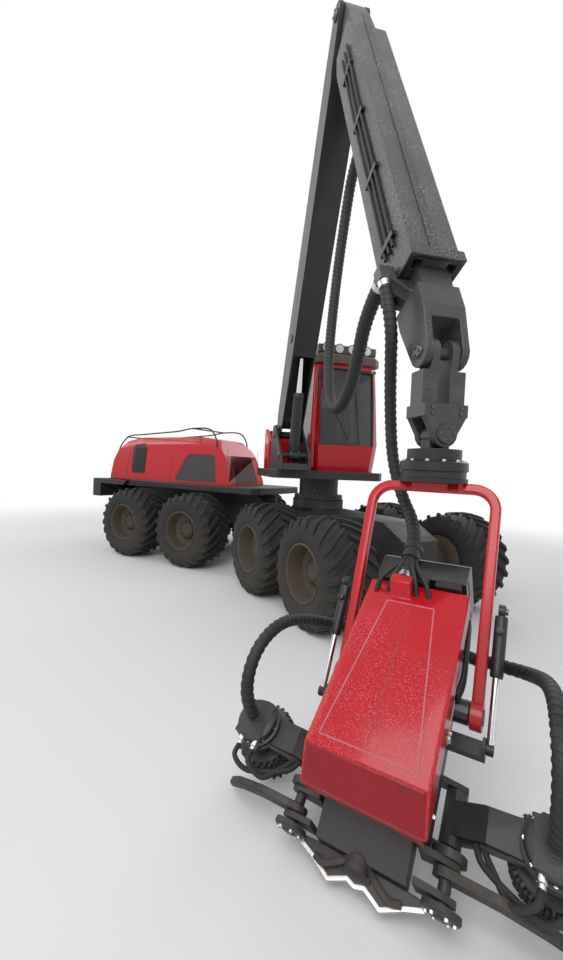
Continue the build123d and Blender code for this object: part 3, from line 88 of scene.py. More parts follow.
ARTICULATION, CRANE_HEADING, INNER_ELEVATION = 31.0, -16.5, 63.7
OUTER_DROP, HEAD_HEADING, HEAD_SLOPE = 63.6, -60.8, 37.0
INNER_LENGTH = 4.86
TILT_PIVOT = (0.44, 0, -1.16)
TILT_FOOT_UP = 0.55
LINK_PIN_Z = -0.52
STEER_PIN_Z = 0.98
FRONT = shift(-1.026, 0.865, 0)
REAR = FRONT @ turn_z(ARTICULATION)
UPPER = FRONT @ shift(1.0, 0, 0) @ turn_z(CRANE_HEADING)
CRANE = UPPER @ shift(0.3, -0.65, 2.42)
INNER = CRANE @ turn_y(-INNER_ELEVATION)
OUTER = INNER @ shift(INNER_LENGTH, 0, 0) @ turn_y(INNER_ELEVATION + OUTER_DROP)
TIP = OUTER @ shift(4.577, 0, 0) @ turn_y(-OUTER_DROP)
HOOP = TIP @ shift(0, 0, -0.858) @ turn_z(HEAD_HEADING - CRANE_HEADING)
HEAD = HOOP @ shift(*TILT_PIVOT) @ turn_y(HEAD_SLOPE)
ROLLER_X, ROLLER_Y = 0.45, 0.73
KNIFE_PIN_Y, KNIFE_PIN_Z = 0.35, -0.02
HEAD_PLATE_Y = 0.262
HALF_BOGIE = 0.763
AXLE_Z = 0.6774
WHEEL_Y = 1.15
WHEELS = {
    "wheel_front_left_lead": (FRONT, 2.908, 1),
    "wheel_front_left_trail": (FRONT, 1.382, 1),
    "wheel_front_right_lead": (FRONT, 2.908, -1),
    "wheel_front_right_trail": (FRONT, 1.382, -1),
    "wheel_rear_left_lead": (REAR, -1.397, 1),
    "wheel_rear_left_trail": (REAR, -2.923, 1),
    "wheel_rear_right_lead": (REAR, -1.397, -1),
    "wheel_rear_right_trail": (REAR, -2.923, -1),
}
SIDES = (("left", 1), ("right", -1))
SHARP_ANGLE = radians(38)


def placed(points, place):
    """Points of shape (..., 3) carried by a 4x4 matrix."""
    return points @ place[:3, :3].T + place[:3, 3]


def unit(vectors):
    """Vectors of shape (..., 3), each divided by its length."""
    return vectors / np.linalg.norm(vectors, axis=-1, keepdims=True)


def sides_of(along, up):
    """The two unit vectors across each direction: along x up, and that one x along."""
    side = unit(np.cross(along, np.broadcast_to(np.asarray(up, float), along.shape)))
    return side, np.cross(side, along)


def bearings(count):
    """Even angles round a circle."""
    return np.arange(count) * 2 * pi / count


def bolt_ring(count, radius, axis, centre, start=0.0):
    """Even places r(cos t, sin t) round a centre: y and z for the axis x, z and x for y, x and y for z."""
    t = bearings(count) + start
    flat = np.column_stack([np.zeros(count), radius * np.cos(t), radius * np.sin(t)])
    return np.roll(flat, "xyz".index(axis), axis=1) + centre


def signed_power(x, power):
    """The size of x to the power 2/power, with the sign of x."""
    return np.sign(x) * np.abs(x) ** (2 / power)


# Meshes from arrays
def listed(faces):
    """Face arrays as a list of arrays."""
    return [np.asarray(block) for block in (faces if isinstance(faces, list) else [faces])]


def linked(name, data, body):
    """An object in the scene that rides on a body."""
    made = bpy.data.objects.new(name, data)
    bpy.context.scene.collection.objects.link(made)
    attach(made, body)
    return made


def piece(name, points, faces, body, material, smooth=True, place=None):
    """A mesh object from an array of points and a list of face arrays, riding on a body."""
    points = np.asarray(points, float).reshape(-1, 3)
    if place is not None:
        points = placed(points, place)
    blocks = listed(faces)
    mesh = bpy.data.meshes.new(name)
    mesh.vertices.add(len(points))
    mesh.vertices.foreach_set("co", points.ravel())
    counts = np.concatenate([np.full(len(block), block.shape[1]) for block in blocks])
    mesh.loops.add(int(counts.sum()))
    mesh.loops.foreach_set("vertex_index", np.concatenate([block.ravel() for block in blocks]))
    mesh.polygons.add(len(counts))
    mesh.polygons.foreach_set("loop_start", np.concatenate([[0], np.cumsum(counts)[:-1]]))
    mesh.update(calc_edges=True)
    mesh.validate()
    outward = bmesh.new()
    outward.from_mesh(mesh)
    bmesh.ops.recalc_face_normals(outward, faces=outward.faces[:])
    outward.to_mesh(mesh)
    outward.free()
    mesh.polygons.foreach_set("use_smooth", np.full(len(mesh.polygons), smooth))
    if smooth:
        mesh.set_sharp_from_angle(angle=SHARP_ANGLE)
    mesh.materials.append(material)
    return linked(name, mesh, body)


def grid(rows, columns, wrap_rows=False, wrap_columns=False):
    """Quads between neighbouring points of a rows x columns grid, closed either way where asked."""
    i = np.arange(rows if wrap_rows else rows - 1)
    j = np.arange(columns if wrap_columns else columns - 1)
    a, b = np.meshgrid(i, j, indexing="ij")
    c, d = (a + 1) % rows, (b + 1) % columns
    return np.stack([a * columns + b, c * columns + b, c * columns + d, a * columns + d], -1).reshape(-1, 4)


def closing_fans(rows, sides):
    """Triangles on the first and last row of a grid, from two middle points numbered after its own."""
    ring = np.arange(sides)
    onward, last = (ring + 1) % sides, (rows - 1) * sides
    first = np.stack([np.full(sides, rows * sides), onward, ring], -1)
    return [first, np.stack([np.full(sides, rows * sides + 1), last + ring, last + onward], -1)]


def joined(parts):
    """Several (points, face blocks) as one: points stacked, faces moved on by the points before them."""
    points, faces, count = [], [], 0
    for some_points, some_faces in parts:
        points.append(np.asarray(some_points, float).reshape(-1, 3))
        faces += [block + count for block in listed(some_faces)]
        count += len(points[-1])
    return np.concatenate(points), faces


def carried_round(s, r, steps, axis, centre):
    """Points (s, r cos t, r sin t) for even bearings t, with s along the axis, moved to a centre."""
    t = bearings(steps)
    along = np.broadcast_to(s[:, None], (len(s), steps))
    points = np.stack([along, np.outer(r, np.cos(t)), np.outer(r, np.sin(t))], -1).reshape(-1, 3)
    return points[:, {"x": (0, 1, 2), "y": (1, 0, 2), "z": (1, 2, 0)}[axis]] + np.array(centre)


def revolved(profile, steps=48, axis="x", centre=(0, 0, 0)):
    """A closed solid of revolution: a profile of (s, r) carried round the axis, its ends closed by fans."""
    s, r = np.asarray(profile, float).T
    middles = carried_round(s[[0, -1]], np.zeros(2), 1, axis, centre)
    points = np.concatenate([carried_round(s, r, steps, axis, centre), middles])
    return points, [grid(len(s), steps, wrap_columns=True), *closing_fans(len(s), steps)]


def ring_of(profile, steps=64, axis="y", centre=(0, 0, 0)):
    """A closed profile of (s, r) carried round the axis, so the surface is a torus-like ring."""
    s, r = np.asarray(profile, float).T
    return carried_round(s, r, steps, axis, centre), grid(len(s), steps, wrap_rows=True, wrap_columns=True)


def prisms(centres, axes, radius, height, sides=6):
    """Many regular prisms: corner k of each is centre + r(cos, sin) across its axis, and 12 percent nearer
    to the axis at the far end of its height."""
    centres = np.atleast_2d(np.asarray(centres, float))
    axes = unit(np.broadcast_to(np.asarray(axes, float), centres.shape))
    helper = np.where(np.abs(axes[:, 2:]) < 0.9, [[0.0, 0.0, 1.0]], [[1.0, 0.0, 0.0]])
    u = unit(np.cross(axes, helper))
    v = np.cross(axes, u)
    t = bearings(sides)[None, :, None]
    across = np.cos(t) * u[:, None] + np.sin(t) * v[:, None]
    low = centres[:, None] + radius * across
    high = low + height * axes[:, None] - radius * 0.12 * across
    base = (np.arange(len(centres)) * 2 * sides)[:, None]
    k = np.arange(sides)
    n = (k + 1) % sides
    quads = np.stack([k, n, n + sides, k + sides], -1)[None] + base[:, :, None]
    caps = np.stack([k[::-1], k + sides])[None] + base[:, :, None]
    return np.concatenate([low, high], 1).reshape(-1, 3), [quads.reshape(-1, 4), caps.reshape(-1, sides)]


def bars(starts, ends, width, depth, up=(0, 0, 1)):
    """Many straight bars of rectangular section between pairs of points, depth measured along up."""
    starts, ends = np.atleast_2d(np.asarray(starts, float)), np.atleast_2d(np.asarray(ends, float))
    side, top = sides_of(unit(ends - starts), up)
    corners = np.array([(-1, -1), (1, -1), (1, 1), (-1, 1)]) * (width / 2, depth / 2)
    offset = corners[:, :1] * side[:, None] + corners[:, 1:] * top[:, None]
    points = np.concatenate([starts[:, None] + offset, ends[:, None] + offset], 1)
    quads = np.array([(3, 2, 1, 0), (4, 5, 6, 7), (0, 1, 5, 4), (1, 2, 6, 5), (2, 3, 7, 6), (3, 0, 4, 7)])
    base = (np.arange(len(starts)) * 8)[:, None, None]
    return points.reshape(-1, 3), (quads[None] + base).reshape(-1, 4)


def smooth_line(points, count):
    """count points on the Catmull-Rom curve through the given ones."""
    points = np.asarray(points, float)
    padded = np.concatenate([[2 * points[0] - points[1]], points, [2 * points[-1] - points[-2]]])
    t = np.linspace(0, len(points) - 1 - 1e-9, count)
    i = t.astype(int)
    f = (t - i)[:, None]
    a, b, c, d = padded[i], padded[i + 1], padded[i + 2], padded[i + 3]
    return 0.5 * (2 * b + (c - a) * f + (2 * a - 5 * b + 4 * c - d) * f**2 + (3 * b - 3 * c + d - a) * f**3)


def swept(line, section, up=(0, 0, 1)):
    """A closed section of (across, up) points carried along a line of points, its ends closed by fans."""
    line, section = np.asarray(line, float), np.asarray(section, float)
    side, top = sides_of(unit(np.gradient(line, axis=0)), up)
    points = line[:, None] + section[:, :1] * side[:, None] + section[:, 1:] * top[:, None]
    points = np.concatenate([points.reshape(-1, 3), line[:1], line[-1:]])
    rows, sides = len(line), len(section)
    return points, [grid(rows, sides, wrap_columns=True), *closing_fans(rows, sides)]


def tube(line, radius, sides=12, up=(0, 0, 1)):
    """A round section carried along a line of points."""
    t = bearings(sides)
    return swept(line, radius * np.column_stack([np.cos(t), np.sin(t)]), up)


def rounded_box(width, height, power=5.0, sides=28):
    """A section between box and ellipse: signed powers of the cosine and sine, half width and half height
    across."""
    t = bearings(sides)
    corner = np.column_stack([signed_power(np.cos(t), power), signed_power(np.sin(t), power)])
    return corner * (width / 2, height / 2)


def spiral(line, radius, pitch, width, thickness):
    """A strip wound round a line: at arc length s it stands at the radius, at a bearing of 2 pi s / pitch."""
    steps = np.linalg.norm(np.diff(line, axis=0), axis=1)
    s = np.concatenate([[0], np.cumsum(steps)])
    even = np.linspace(0, s[-1], max(8, int(s[-1] / pitch * 14)))
    middle = np.column_stack([np.interp(even, s, line[:, k]) for k in range(3)])
    normal = np.linalg.svd(line - line.mean(axis=0), full_matrices=False)[2][2]
    side, top = sides_of(unit(np.gradient(middle, axis=0)), normal)
    bearing = (2 * pi * even / pitch)[:, None]
    outward = np.cos(bearing) * side + np.sin(bearing) * top
    return swept(middle + radius * outward, rounded_box(width, thickness, 4, 8), outward)


def pillow(centre, size, power=3.0):
    """A superellipsoid cushion: each coordinate is size/2 times a signed power of the sines and cosines of
    the height angle u and the bearing v."""
    rows, columns = 25, 48
    u = np.linspace(-pi / 2, pi / 2, rows)[:, None]
    v = bearings(columns)[None]
    flat, rise = signed_power(np.cos(u), power), signed_power(np.sin(u), power)
    points = [flat * signed_power(np.cos(v), power), flat * signed_power(np.sin(v), power), rise + 0 * v]
    points = np.stack(points, -1).reshape(-1, 3) * np.array(size) / 2 + np.array(centre)
    return points, grid(rows, columns, wrap_columns=True)


def plate(outline, low, high, axes="xyz"):
    """A flat plate: an outline in the first two axes, carried along the third from low to high."""
    outline = np.asarray(outline, float)
    n = len(outline)
    flat = np.concatenate([np.column_stack([outline, np.full(n, end)]) for end in (low, high)])
    points = np.empty_like(flat)
    points[:, ["xyz".index(axis) for axis in axes]] = flat
    k = np.arange(n)
    sides = np.stack([k, (k + 1) % n, (k + 1) % n + n, k + n], -1)
    return points, [sides, k[None, ::-1], (k + n)[None]]


def block_of(width, height):
    """The outline of a rectangle about the origin."""
    return np.array([(-1, -1), (1, -1), (1, 1), (-1, 1)]) * (width / 2, height / 2)


def bevelled(obj, width, segments=2, angle=30):
    """Rounds a piece's edges with a Bevel modifier."""
    modifier = obj.modifiers.new("edges", "BEVEL")
    modifier.width = width
    modifier.segments = segments
    modifier.limit_method = "ANGLE"
    modifier.angle_limit = radians(angle)
    return obj


def rounded_copy(node, material, width, segments=2):
    """A node's form with rounded edges: its mesh merged, its flat faces made whole and its edges bevelled."""
    mesh = bpy.data.meshes.new(node + "_skin")
    work = bmesh.new()
    work.from_mesh(NODES[node].data)
    bmesh.ops.remove_doubles(work, verts=work.verts[:], dist=1e-5)
    bmesh.ops.dissolve_limit(work, angle_limit=radians(1.0), verts=work.verts[:], edges=work.edges[:])
    bmesh.ops.dissolve_degenerate(work, edges=work.edges[:], dist=1e-5)
    work.to_mesh(mesh)
    work.free()
    mesh.polygons.foreach_set("use_smooth", np.ones(len(mesh.polygons), bool))
    mesh.set_sharp_from_angle(angle=SHARP_ANGLE)
    mesh.materials.clear()
    mesh.materials.append(material)
    made = linked(node + "_skin", mesh, BODY_OF[node])
    bevelled(made, width, segments, 25)
    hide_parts(node)
    return made


def painted(node, material):
    """A node keeps its own mesh and takes a finish."""
    NODES[node].data.materials.clear()
    NODES[node].data.materials.append(material)


# Finishes
class Nodes:
    """A short way to write a node tree: each call adds a node and fills its inputs with values or links."""

    def __init__(self, tree):
        self.tree = tree
        self.column = 0

    def add(self, kind, settings=None, **inputs):
        """A node with its settings, placed to the right of the one before."""
        node = self.tree.nodes.new(kind)
        node.location = (self.column, 0)
        self.column += 180
        for key, value in (settings or {}).items():
            setattr(node, key, value)
        return self.fill(node, **inputs)

    def fill(self, node, **inputs):
        """A node's inputs by name, with _ for a space, or by number, i0 for the first."""
        for key, value in inputs.items():
            socket = node.inputs[int(key[1:]) if key[1:].isdigit() else key.replace("_", " ")]
            if isinstance(value, bpy.types.NodeSocket):
                self.tree.links.new(value, socket)
            else:
                socket.default_value = value
        return node

    def maths(self, operation, *values, clamp=False):
        """The result of a math node on its values."""
        node = self.add("ShaderNodeMath", {"operation": operation, "use_clamp": clamp})
        return self.fill(node, **{"i%d" % k: value for k, value in enumerate(values)}).outputs[0]

    def spread(self, value, low, high, to_low=0.0, to_high=1.0, **settings):
        """A value's range from low to high carried over to another range, and kept inside it."""
        node = self.add("ShaderNodeMapRange", {"clamp": True, **settings})
        return self.fill(node, i0=value, i1=low, i2=high, i3=to_low, i4=to_high).outputs["Result"]

    def mixed(self, share, first, second, blend="MIX"):
        """The second colour laid over the first by a share."""
        node = self.add("ShaderNodeMix", {"data_type": "RGBA", "blend_type": blend})
        return self.fill(node, i0=share, i6=first, i7=second).outputs[2]

    def grey(self, value):
        """A value as a grey colour."""
        return self.add("ShaderNodeCombineColor", i0=value, i1=value, i2=value).outputs[0]

    def place(self):
        """The object's own coordinates."""
        return self.add("ShaderNodeTexCoord").outputs["Object"]

    def relief(self, height, strength, distance, **settings):
        """The normal of a surface raised by a height."""
        node = self.add("ShaderNodeBump", settings, Height=height, Strength=strength, Distance=distance)
        return node.outputs["Normal"]


def new_group(name, inputs, outputs):
    """A shader node group by its inputs and outputs: its tree, its writer, what it is given and its end."""
    tree = bpy.data.node_groups.new(name, "ShaderNodeTree")
    for label, default in inputs.items():
        kind = "NodeSocketColor" if isinstance(default, tuple) else "NodeSocketFloat"
        tree.interface.new_socket(name=label, in_out="INPUT", socket_type=kind).default_value = default
    for label in outputs:
        kind = "NodeSocketColor" if label == "Color" else "NodeSocketFloat"
        tree.interface.new_socket(name=label, in_out="OUTPUT", socket_type=kind)
    write = Nodes(tree)
    return tree, write, write.add("NodeGroupInput").outputs, write.add("NodeGroupOutput")


def weathering_group():
    """Grime in cloudy patches, more of it near the ground, with fine scratches as height."""
    defaults = {
        "Base": (0.5, 0.5, 0.5, 1),
        "Grime": (0.08, 0.06, 0.04, 1),
        "Amount": 0.4,
        "Height of mud": 1.2,
        "Scale": 3.0,
        "Gloss": 0.35,
    }
    tree, write, given, out = new_group("Weathering", defaults, ("Color", "Roughness", "Height"))
    place = write.place()
    cloud = write.add("ShaderNodeTexNoise", Vector=place, Scale=given["Scale"], Detail=6.0, Roughness=0.65)
    fine = write.add("ShaderNodeTexNoise", Vector=place, Scale=46.0, Detail=4.0, Roughness=0.7).outputs["Fac"]
    height = write.add("ShaderNodeSeparateXYZ", Vector=place).outputs["Z"]
    low = write.spread(height, 0.0, given["Height of mud"], 0.75, 0.0)
    patch = write.spread(write.maths("ADD", cloud.outputs["Fac"], low), 0.5, 1.05)
    amount = write.maths("MULTIPLY", patch, given["Amount"])
    covered = write.mixed(amount, given["Base"], given["Grime"])
    tone = write.grey(write.spread(fine, 0.3, 0.7, 0.86, 1.08))
    shaded = write.mixed(1.0, covered, tone, "MULTIPLY")
    rough = write.maths("MULTIPLY_ADD", amount, 0.5, given["Gloss"], clamp=True)
    write.fill(out, Color=shaded, Roughness=rough, Height=fine)
    return tree


def speckle_group():
    """Small drops or snow grains: round spots where the nearest cell point is close, thinned by a cloud."""
    defaults = {"Scale": 60.0, "Size": 0.22, "Cover": 0.5}
    tree, write, given, out = new_group("Speckle", defaults, ("Mask", "Height"))
    place = write.place()
    cell = write.add("ShaderNodeTexVoronoi", Vector=place, Scale=given["Scale"])
    cloud = write.add("ShaderNodeTexNoise", Vector=place, Scale=2.6, Detail=3.0)
    spot = write.spread(cell.outputs["Distance"], given["Size"], 0.03)
    thin = write.spread(write.maths("ADD", cloud.outputs["Fac"], given["Cover"]), 0.82, 1.12)
    mask = write.maths("MULTIPLY", spot, thin)
    write.fill(out, Mask=mask, Height=mask)
    return tree


GROUPS = {}


def group_node(write, name, maker, **inputs):
    """A group placed in a material, built once."""
    if name not in GROUPS:
        GROUPS[name] = maker()
    return write.add("ShaderNodeGroup", {"node_tree": GROUPS[name]}, **inputs).outputs


def new_material(name, **inputs):
    """A material with its output, its shader with the given inputs, and a writer for the rest."""
    material = bpy.data.materials.new(name)
    material.use_nodes = True
    material.node_tree.nodes.clear()
    write = Nodes(material.node_tree)
    shader = write.add("ShaderNodeBsdfPrincipled", **inputs)
    write.add("ShaderNodeOutputMaterial", Surface=shader.outputs[0])
    return material, write, shader


def weathered(
    name, base, grime, amount, gloss, mud, scale, metallic=0.0, bump=0.15, coat=0.0, drops=None, gleam=0.5
):
    """Paint, rubber or steel with grime, and drops or snow grains where asked, as (scale, size, cover,
    colour)."""
    material, write, shader = new_material(
        name, Metallic=metallic, Specular_IOR_Level=gleam, Coat_Weight=coat, Coat_Roughness=0.12
    )
    settings = {"Amount": amount, "Height_of_mud": mud, "Scale": scale, "Gloss": gloss}
    worn = group_node(write, "Weathering", weathering_group, Base=(*base, 1), Grime=(*grime, 1), **settings)
    colour, height = worn["Color"], worn["Height"]
    if drops:
        grains = group_node(write, "Speckle", speckle_group, Scale=drops[0], Size=drops[1], Cover=drops[2])
        colour = write.mixed(grains["Mask"], colour, (*drops[3], 1))
        height = write.maths("MULTIPLY_ADD", grains["Height"], 3.0, height)
    relief = write.relief(height, bump, 0.004)
    write.fill(shader, Base_Color=colour, Roughness=worn["Roughness"], Normal=relief)
    return material


def mesh_screen(name, turn, pitch, base, hole):
    """A perforated screen: its holes painted near black where two sine waves both peak, as painted shade seen
    through them, in coordinates turned with the hood.
    """
    material, write, shader = new_material(name, Roughness=0.6)
    turned = write.add("ShaderNodeMapping", Vector=write.place(), Rotation=(0, 0, -radians(turn)))
    split = write.add("ShaderNodeSeparateXYZ", Vector=turned.outputs[0]).outputs
    along = write.maths("ADD", split["X"], split["Y"])
    bearing = [write.maths("MULTIPLY", value, 2 * pi / pitch) for value in (along, split["Z"])]
    waves = [write.maths("SINE", value) for value in bearing]
    mask = write.spread(write.maths("MULTIPLY", *waves), 0.05, 0.3)
    # The hole colour is painted shade: the dark seen through the screen's holes
    colour = write.mixed(mask, (*base, 1), (*hole, 1))
    write.fill(shader, Base_Color=colour, Normal=write.relief(mask, 0.6, 0.01, invert=True))
    return material


def clear_glass(name, tint):
    """Tinted cab glazing."""
    settings = {"Transmission_Weight": 0.6, "IOR": 1.45, "Alpha": 0.74}
    return new_material(name, Base_Color=(*tint, 1), Roughness=0.03, **settings)[0]


def lamp_lens(name, scale):
    """A lamp's ribbed lens over a bright reflector."""
    material, write, shader = new_material(name, Roughness=0.12, Coat_Weight=1.0)
    ribs = write.add("ShaderNodeTexVoronoi", Vector=write.place(), Scale=scale).outputs["Distance"]
    shade = write.grey(write.spread(ribs, 0.0, 0.7, 0.55, 0.95))
    write.fill(shader, Base_Color=shade, Normal=write.relief(ribs, 0.5, 0.003))
    return material


def woven(name, base, light):
    """Seat cloth: a fine weave of crossed waves in the colour and the relief."""
    material, write, shader = new_material(name, Roughness=0.9, Sheen_Weight=0.25)
    place = write.place()
    waves = [
        write.add("ShaderNodeTexWave", {"bands_direction": way}, Vector=place, Scale=90.0, Distortion=0.6)
        for way in ("X", "Z")
    ]
    both = write.maths("MULTIPLY", *(wave.outputs["Fac"] for wave in waves))
    colour = write.mixed(both, (*base, 1), (*light, 1))
    write.fill(shader, Base_Color=colour, Normal=write.relief(both, 0.3, 0.002))
    return material


RED = (0.56, 0.008, 0.016)
CRANE_GREY = (0.012, 0.013, 0.015)
BLACK = (0.014, 0.014, 0.015)
DARK_RED = (0.3, 0.005, 0.01)
MUD = (0.085, 0.07, 0.052)
FROST = (0.55, 0.56, 0.58)
# Light pink specks on the red cover for water drops: the drops are real, and their light colour is a painted
# glint
DROP_GLINTS = (115.0, 0.3, 0.42, (0.8, 0.48, 0.5))
# A row: colour, or the name of one that a user sets; grime, amount, gloss, height of mud, scale; the rest
PAINTS = {
    "red_paint": ("red", MUD, 0.3, 0.22, 1.4, 3.0, {"bump": 0.05, "coat": 0.3, "gleam": 0.3}),
    "red_cover": (
        "red", MUD, 0.22, 0.24, 0.7, 3.0, {"bump": 0.25, "coat": 0.25, "drops": DROP_GLINTS, "gleam": 0.25}
    ),
    "crane_paint": (
        "crane", (0.065, 0.062, 0.06), 0.4, 0.4, 0.6, 2.4, {"bump": 0.14, "coat": 0.1, "gleam": 0.4}
    ),
    "link_paint": (
        (0.05, 0.048, 0.047), (0.15, 0.14, 0.13), 0.65, 0.4, 0.5, 6.0,
        {"bump": 0.3, "drops": (90.0, 0.34, 0.36, FROST)},
    ),
    "frosted_paint": (
        (0.03, 0.031, 0.034), (0.13, 0.13, 0.13), 0.55, 0.42, 0.6, 2.0,
        {"bump": 0.25, "drops": (75.0, 0.4, 0.5, FROST)},
    ),
    "head_paint": (
        (0.014, 0.014, 0.016), (0.045, 0.039, 0.034), 0.6, 0.32, 0.9, 5.0, {"bump": 0.35, "coat": 0.12}
    ),
    "frame_paint": (BLACK, (0.06, 0.052, 0.042), 0.7, 0.5, 1.5, 3.0, {"bump": 0.2}),
    "platform_paint": ((0.018, 0.018, 0.02), (0.08, 0.075, 0.07), 0.5, 0.48, 0.5, 4.0, {"bump": 0.2}),
    "cast_iron": ((0.06, 0.06, 0.06), MUD, 0.6, 0.6, 1.5, 8.0, {"metallic": 0.3, "bump": 0.4}),
    "tyre_rubber": (BLACK, (0.07, 0.06, 0.048), 0.6, 0.75, 1.1, 5.0, {"bump": 0.5}),
    "rim_paint": ((0.105, 0.078, 0.05), MUD, 0.7, 0.5, 1.3, 6.0, {"bump": 0.2}),
    "hub_paint": ((0.05, 0.045, 0.04), MUD, 0.8, 0.5, 1.3, 8.0, {"bump": 0.3}),
    "rod_chrome": (
        (0.72, 0.72, 0.74), (0.3, 0.3, 0.3), 0.15, 0.12, 0.2, 5.0, {"metallic": 1.0, "bump": 0.02}
    ),
    "worn_steel": (
        (0.13, 0.126, 0.122), (0.034, 0.027, 0.022), 0.65, 0.34, 0.8, 9.0, {"metallic": 0.75, "bump": 0.35}
    ),
    "bright_steel": (
        (0.62, 0.61, 0.6), (0.25, 0.2, 0.15), 0.35, 0.22, 0.4, 9.0, {"metallic": 0.95, "bump": 0.15}
    ),
    "hose_rubber": ((0.013, 0.013, 0.014), (0.06, 0.055, 0.05), 0.45, 0.58, 0.8, 14.0, {"bump": 0.5}),
    "black_plastic": ((0.016, 0.016, 0.017), (0.07, 0.065, 0.06), 0.35, 0.5, 0.5, 6.0, {"bump": 0.25}),
    "roof_plastic": ((0.13, 0.085, 0.075), (0.25, 0.22, 0.2), 0.35, 0.5, 0.5, 4.0, {"bump": 0.1}),
    "lamp_housing": ((0.03, 0.03, 0.03), (0.14, 0.13, 0.12), 0.3, 0.4, 0.5, 8.0, {"bump": 0.1}),
    "orange_paint": ((0.72, 0.28, 0.03), MUD, 0.35, 0.4, 0.9, 9.0, {}),
    # Lighter red for the lines on the cover's crease edges: a painted highlight
    "crease_highlight_red": ((0.62, 0.16, 0.19), (0.2, 0.1, 0.09), 0.5, 0.4, 0.9, 9.0, {}),
    "dark_red": (DARK_RED, MUD, 0.4, 0.4, 0.9, 6.0, {"coat": 0.2}),
    "stained_red": (
        DARK_RED, (0.03, 0.008, 0.008), 0.8, 0.35, 0.3, 7.0, {"bump": 0.2, "coat": 0.2, "gleam": 0.3}
    ),
    "white_paint": ((0.62, 0.62, 0.6), MUD, 0.45, 0.42, 0.9, 9.0, {}),
}
OTHER_FINISHES = {
    "cab_glazing": (clear_glass, (0.1, 0.115, 0.115)),
    "lamp_lens": (lamp_lens, 70.0),
    "seat_cloth": (woven, (0.02, 0.02, 0.022), (0.07, 0.07, 0.075)),
    # The screen's hole colour is near black: painted shade inside the holes
    "hood_mesh": (mesh_screen, ARTICULATION, 0.028, (0.075, 0.07, 0.068), (0.004, 0.004, 0.004)),
}
FINISHES = {}


def finish(name):
    """A finish by name, made when it is first asked for."""
    if name in FINISHES:
        return FINISHES[name]
    if name in PAINTS:
        base, *levels, rest = PAINTS[name]
        if isinstance(base, str):
            base = getattr(bpy.context.scene.harvester_paint, base)
        FINISHES[name] = weathered(name, base, *levels, **rest)
    else:
        maker, *values = OTHER_FINISHES[name]
        FINISHES[name] = maker(name, *values)
    return FINISHES[name]


# Sizes and colours that a user would change
class HarvesterWheelSizes(bpy.types.PropertyGroup):
    lugs: bpy.props.IntProperty(
        name="Lugs a side", description="Tread lugs on each side of a tyre", default=22, min=8, max=40
    )
    lug_height: bpy.props.FloatProperty(
        name="Lug height",
        description="How far a lug stands over the carcass",
        default=0.042, min=0.01, max=0.08, unit="LENGTH",
    )
    bolts: bpy.props.IntProperty(
        name="Wheel bolts", description="Bolts round each hub", default=12, min=6, max=24
    )


class HarvesterPaint(bpy.types.PropertyGroup):
    red: bpy.props.FloatVectorProperty(
        name="Body red",
        description="Colour of the hood, cab and head cover",
        default=RED, size=3, subtype="COLOR", min=0, max=1,
    )
    crane: bpy.props.FloatVectorProperty(
        name="Crane grey",
        description="Colour of the booms",
        default=CRANE_GREY, size=3, subtype="COLOR", min=0, max=1,
    )


class HarvesterRoundings(bpy.types.PropertyGroup):
    boom: bpy.props.FloatProperty(
        name="Boom edges", description="Rounding of the booms", default=0.012, min=0, max=0.05, unit="LENGTH"
    )
    cab: bpy.props.FloatProperty(
        name="Cab edges", description="Rounding of the cab", default=0.014, min=0, max=0.05, unit="LENGTH"
    )
    hood: bpy.props.FloatProperty(
        name="Hood edges", description="Rounding of the hood", default=0.022, min=0, max=0.05, unit="LENGTH"
    )
    head: bpy.props.FloatProperty(
        name="Head edges", description="Rounding of the head", default=0.006, min=0, max=0.03, unit="LENGTH"
    )


# Hoses: the route's points, in metres, as the solids have them
def boom_hose_points():
    """The loop under the outer boom, from its underside to the hose arm on the extension."""
    start = placed(np.array([(1.7, 0, -0.215), (1.7, 0, -0.53)]), OUTER)
    loop = [
        (2.29, -0.012, 2.15), (2.2, -0.03, 1.72), (2.15, -0.05, 1.26), (2.15, -0.075, 0.82),
        (2.24, -0.1, 0.42), (2.48, -0.13, 0.13), (2.8, -0.16, 0.06), (3.11, -0.19, 0.17),
        (3.35, -0.225, 0.36),
    ]
    middle = placed(np.array(loop), CRANE)
    end = placed(np.array([(3.94, -0.271, -0.325), (3.94, -0.271, -0.045)]), OUTER)
    return np.concatenate([start, middle, end])


def head_hose_points():
    """The bundle from the hose arm, behind the hoop's crossbar, into the cover's inlet."""
    start = placed(np.array([(4.0, -0.287, 0), (4.33, -0.287, 0)]), OUTER)
    drop = [
        (-0.06, -0.335, 0.79), (-0.19, -0.36, 0.48), (-0.225, -0.34, 0.17), (-0.205, -0.25, -0.09),
        (-0.09, -0.13, -0.25),
    ]
    middle = placed(np.array(drop), HOOP)
    end = placed(np.array([(-0.74, -0.07, 0.408), (-0.47, -0.07, 0.408)]), HEAD)
    return np.concatenate([start, middle, end])


def roller_hose_points(side):
    """The arc from the head's side plate up and over to a feed roller's motor."""
    points = [
        (-0.33, 0.262, -0.02), (-0.33, 0.46, -0.02), (-0.265, 0.62, 0.075), (-0.14, 0.68, 0.25),
        (0.01, 0.705, 0.385), (0.195, 0.72, 0.44), (0.35, 0.73, 0.38), (0.45, 0.73, 0.24),
        (0.45, 0.73, 0.08),
    ]
    return placed(np.array(points) * (1, side, 1), HEAD)


def hose_curve(name, points, diameter, body, material):
    """One smooth NURBS line with the route's points as its control points, with a round bevel."""
    curve = bpy.data.curves.new(name, "CURVE")
    curve.dimensions = "3D"
    curve.bevel_depth = diameter / 2
    curve.bevel_resolution = 6
    curve.resolution_u = 16
    curve.use_fill_caps = True
    spline = curve.splines.new("NURBS")
    spline.points.add(len(points) - 1)
    spline.points.foreach_set("co", np.column_stack([points, np.ones(len(points))]).ravel())
    spline.order_u = 3
    spline.use_endpoint_u = True
    curve.materials.append(material)
    return linked(name, curve, body)


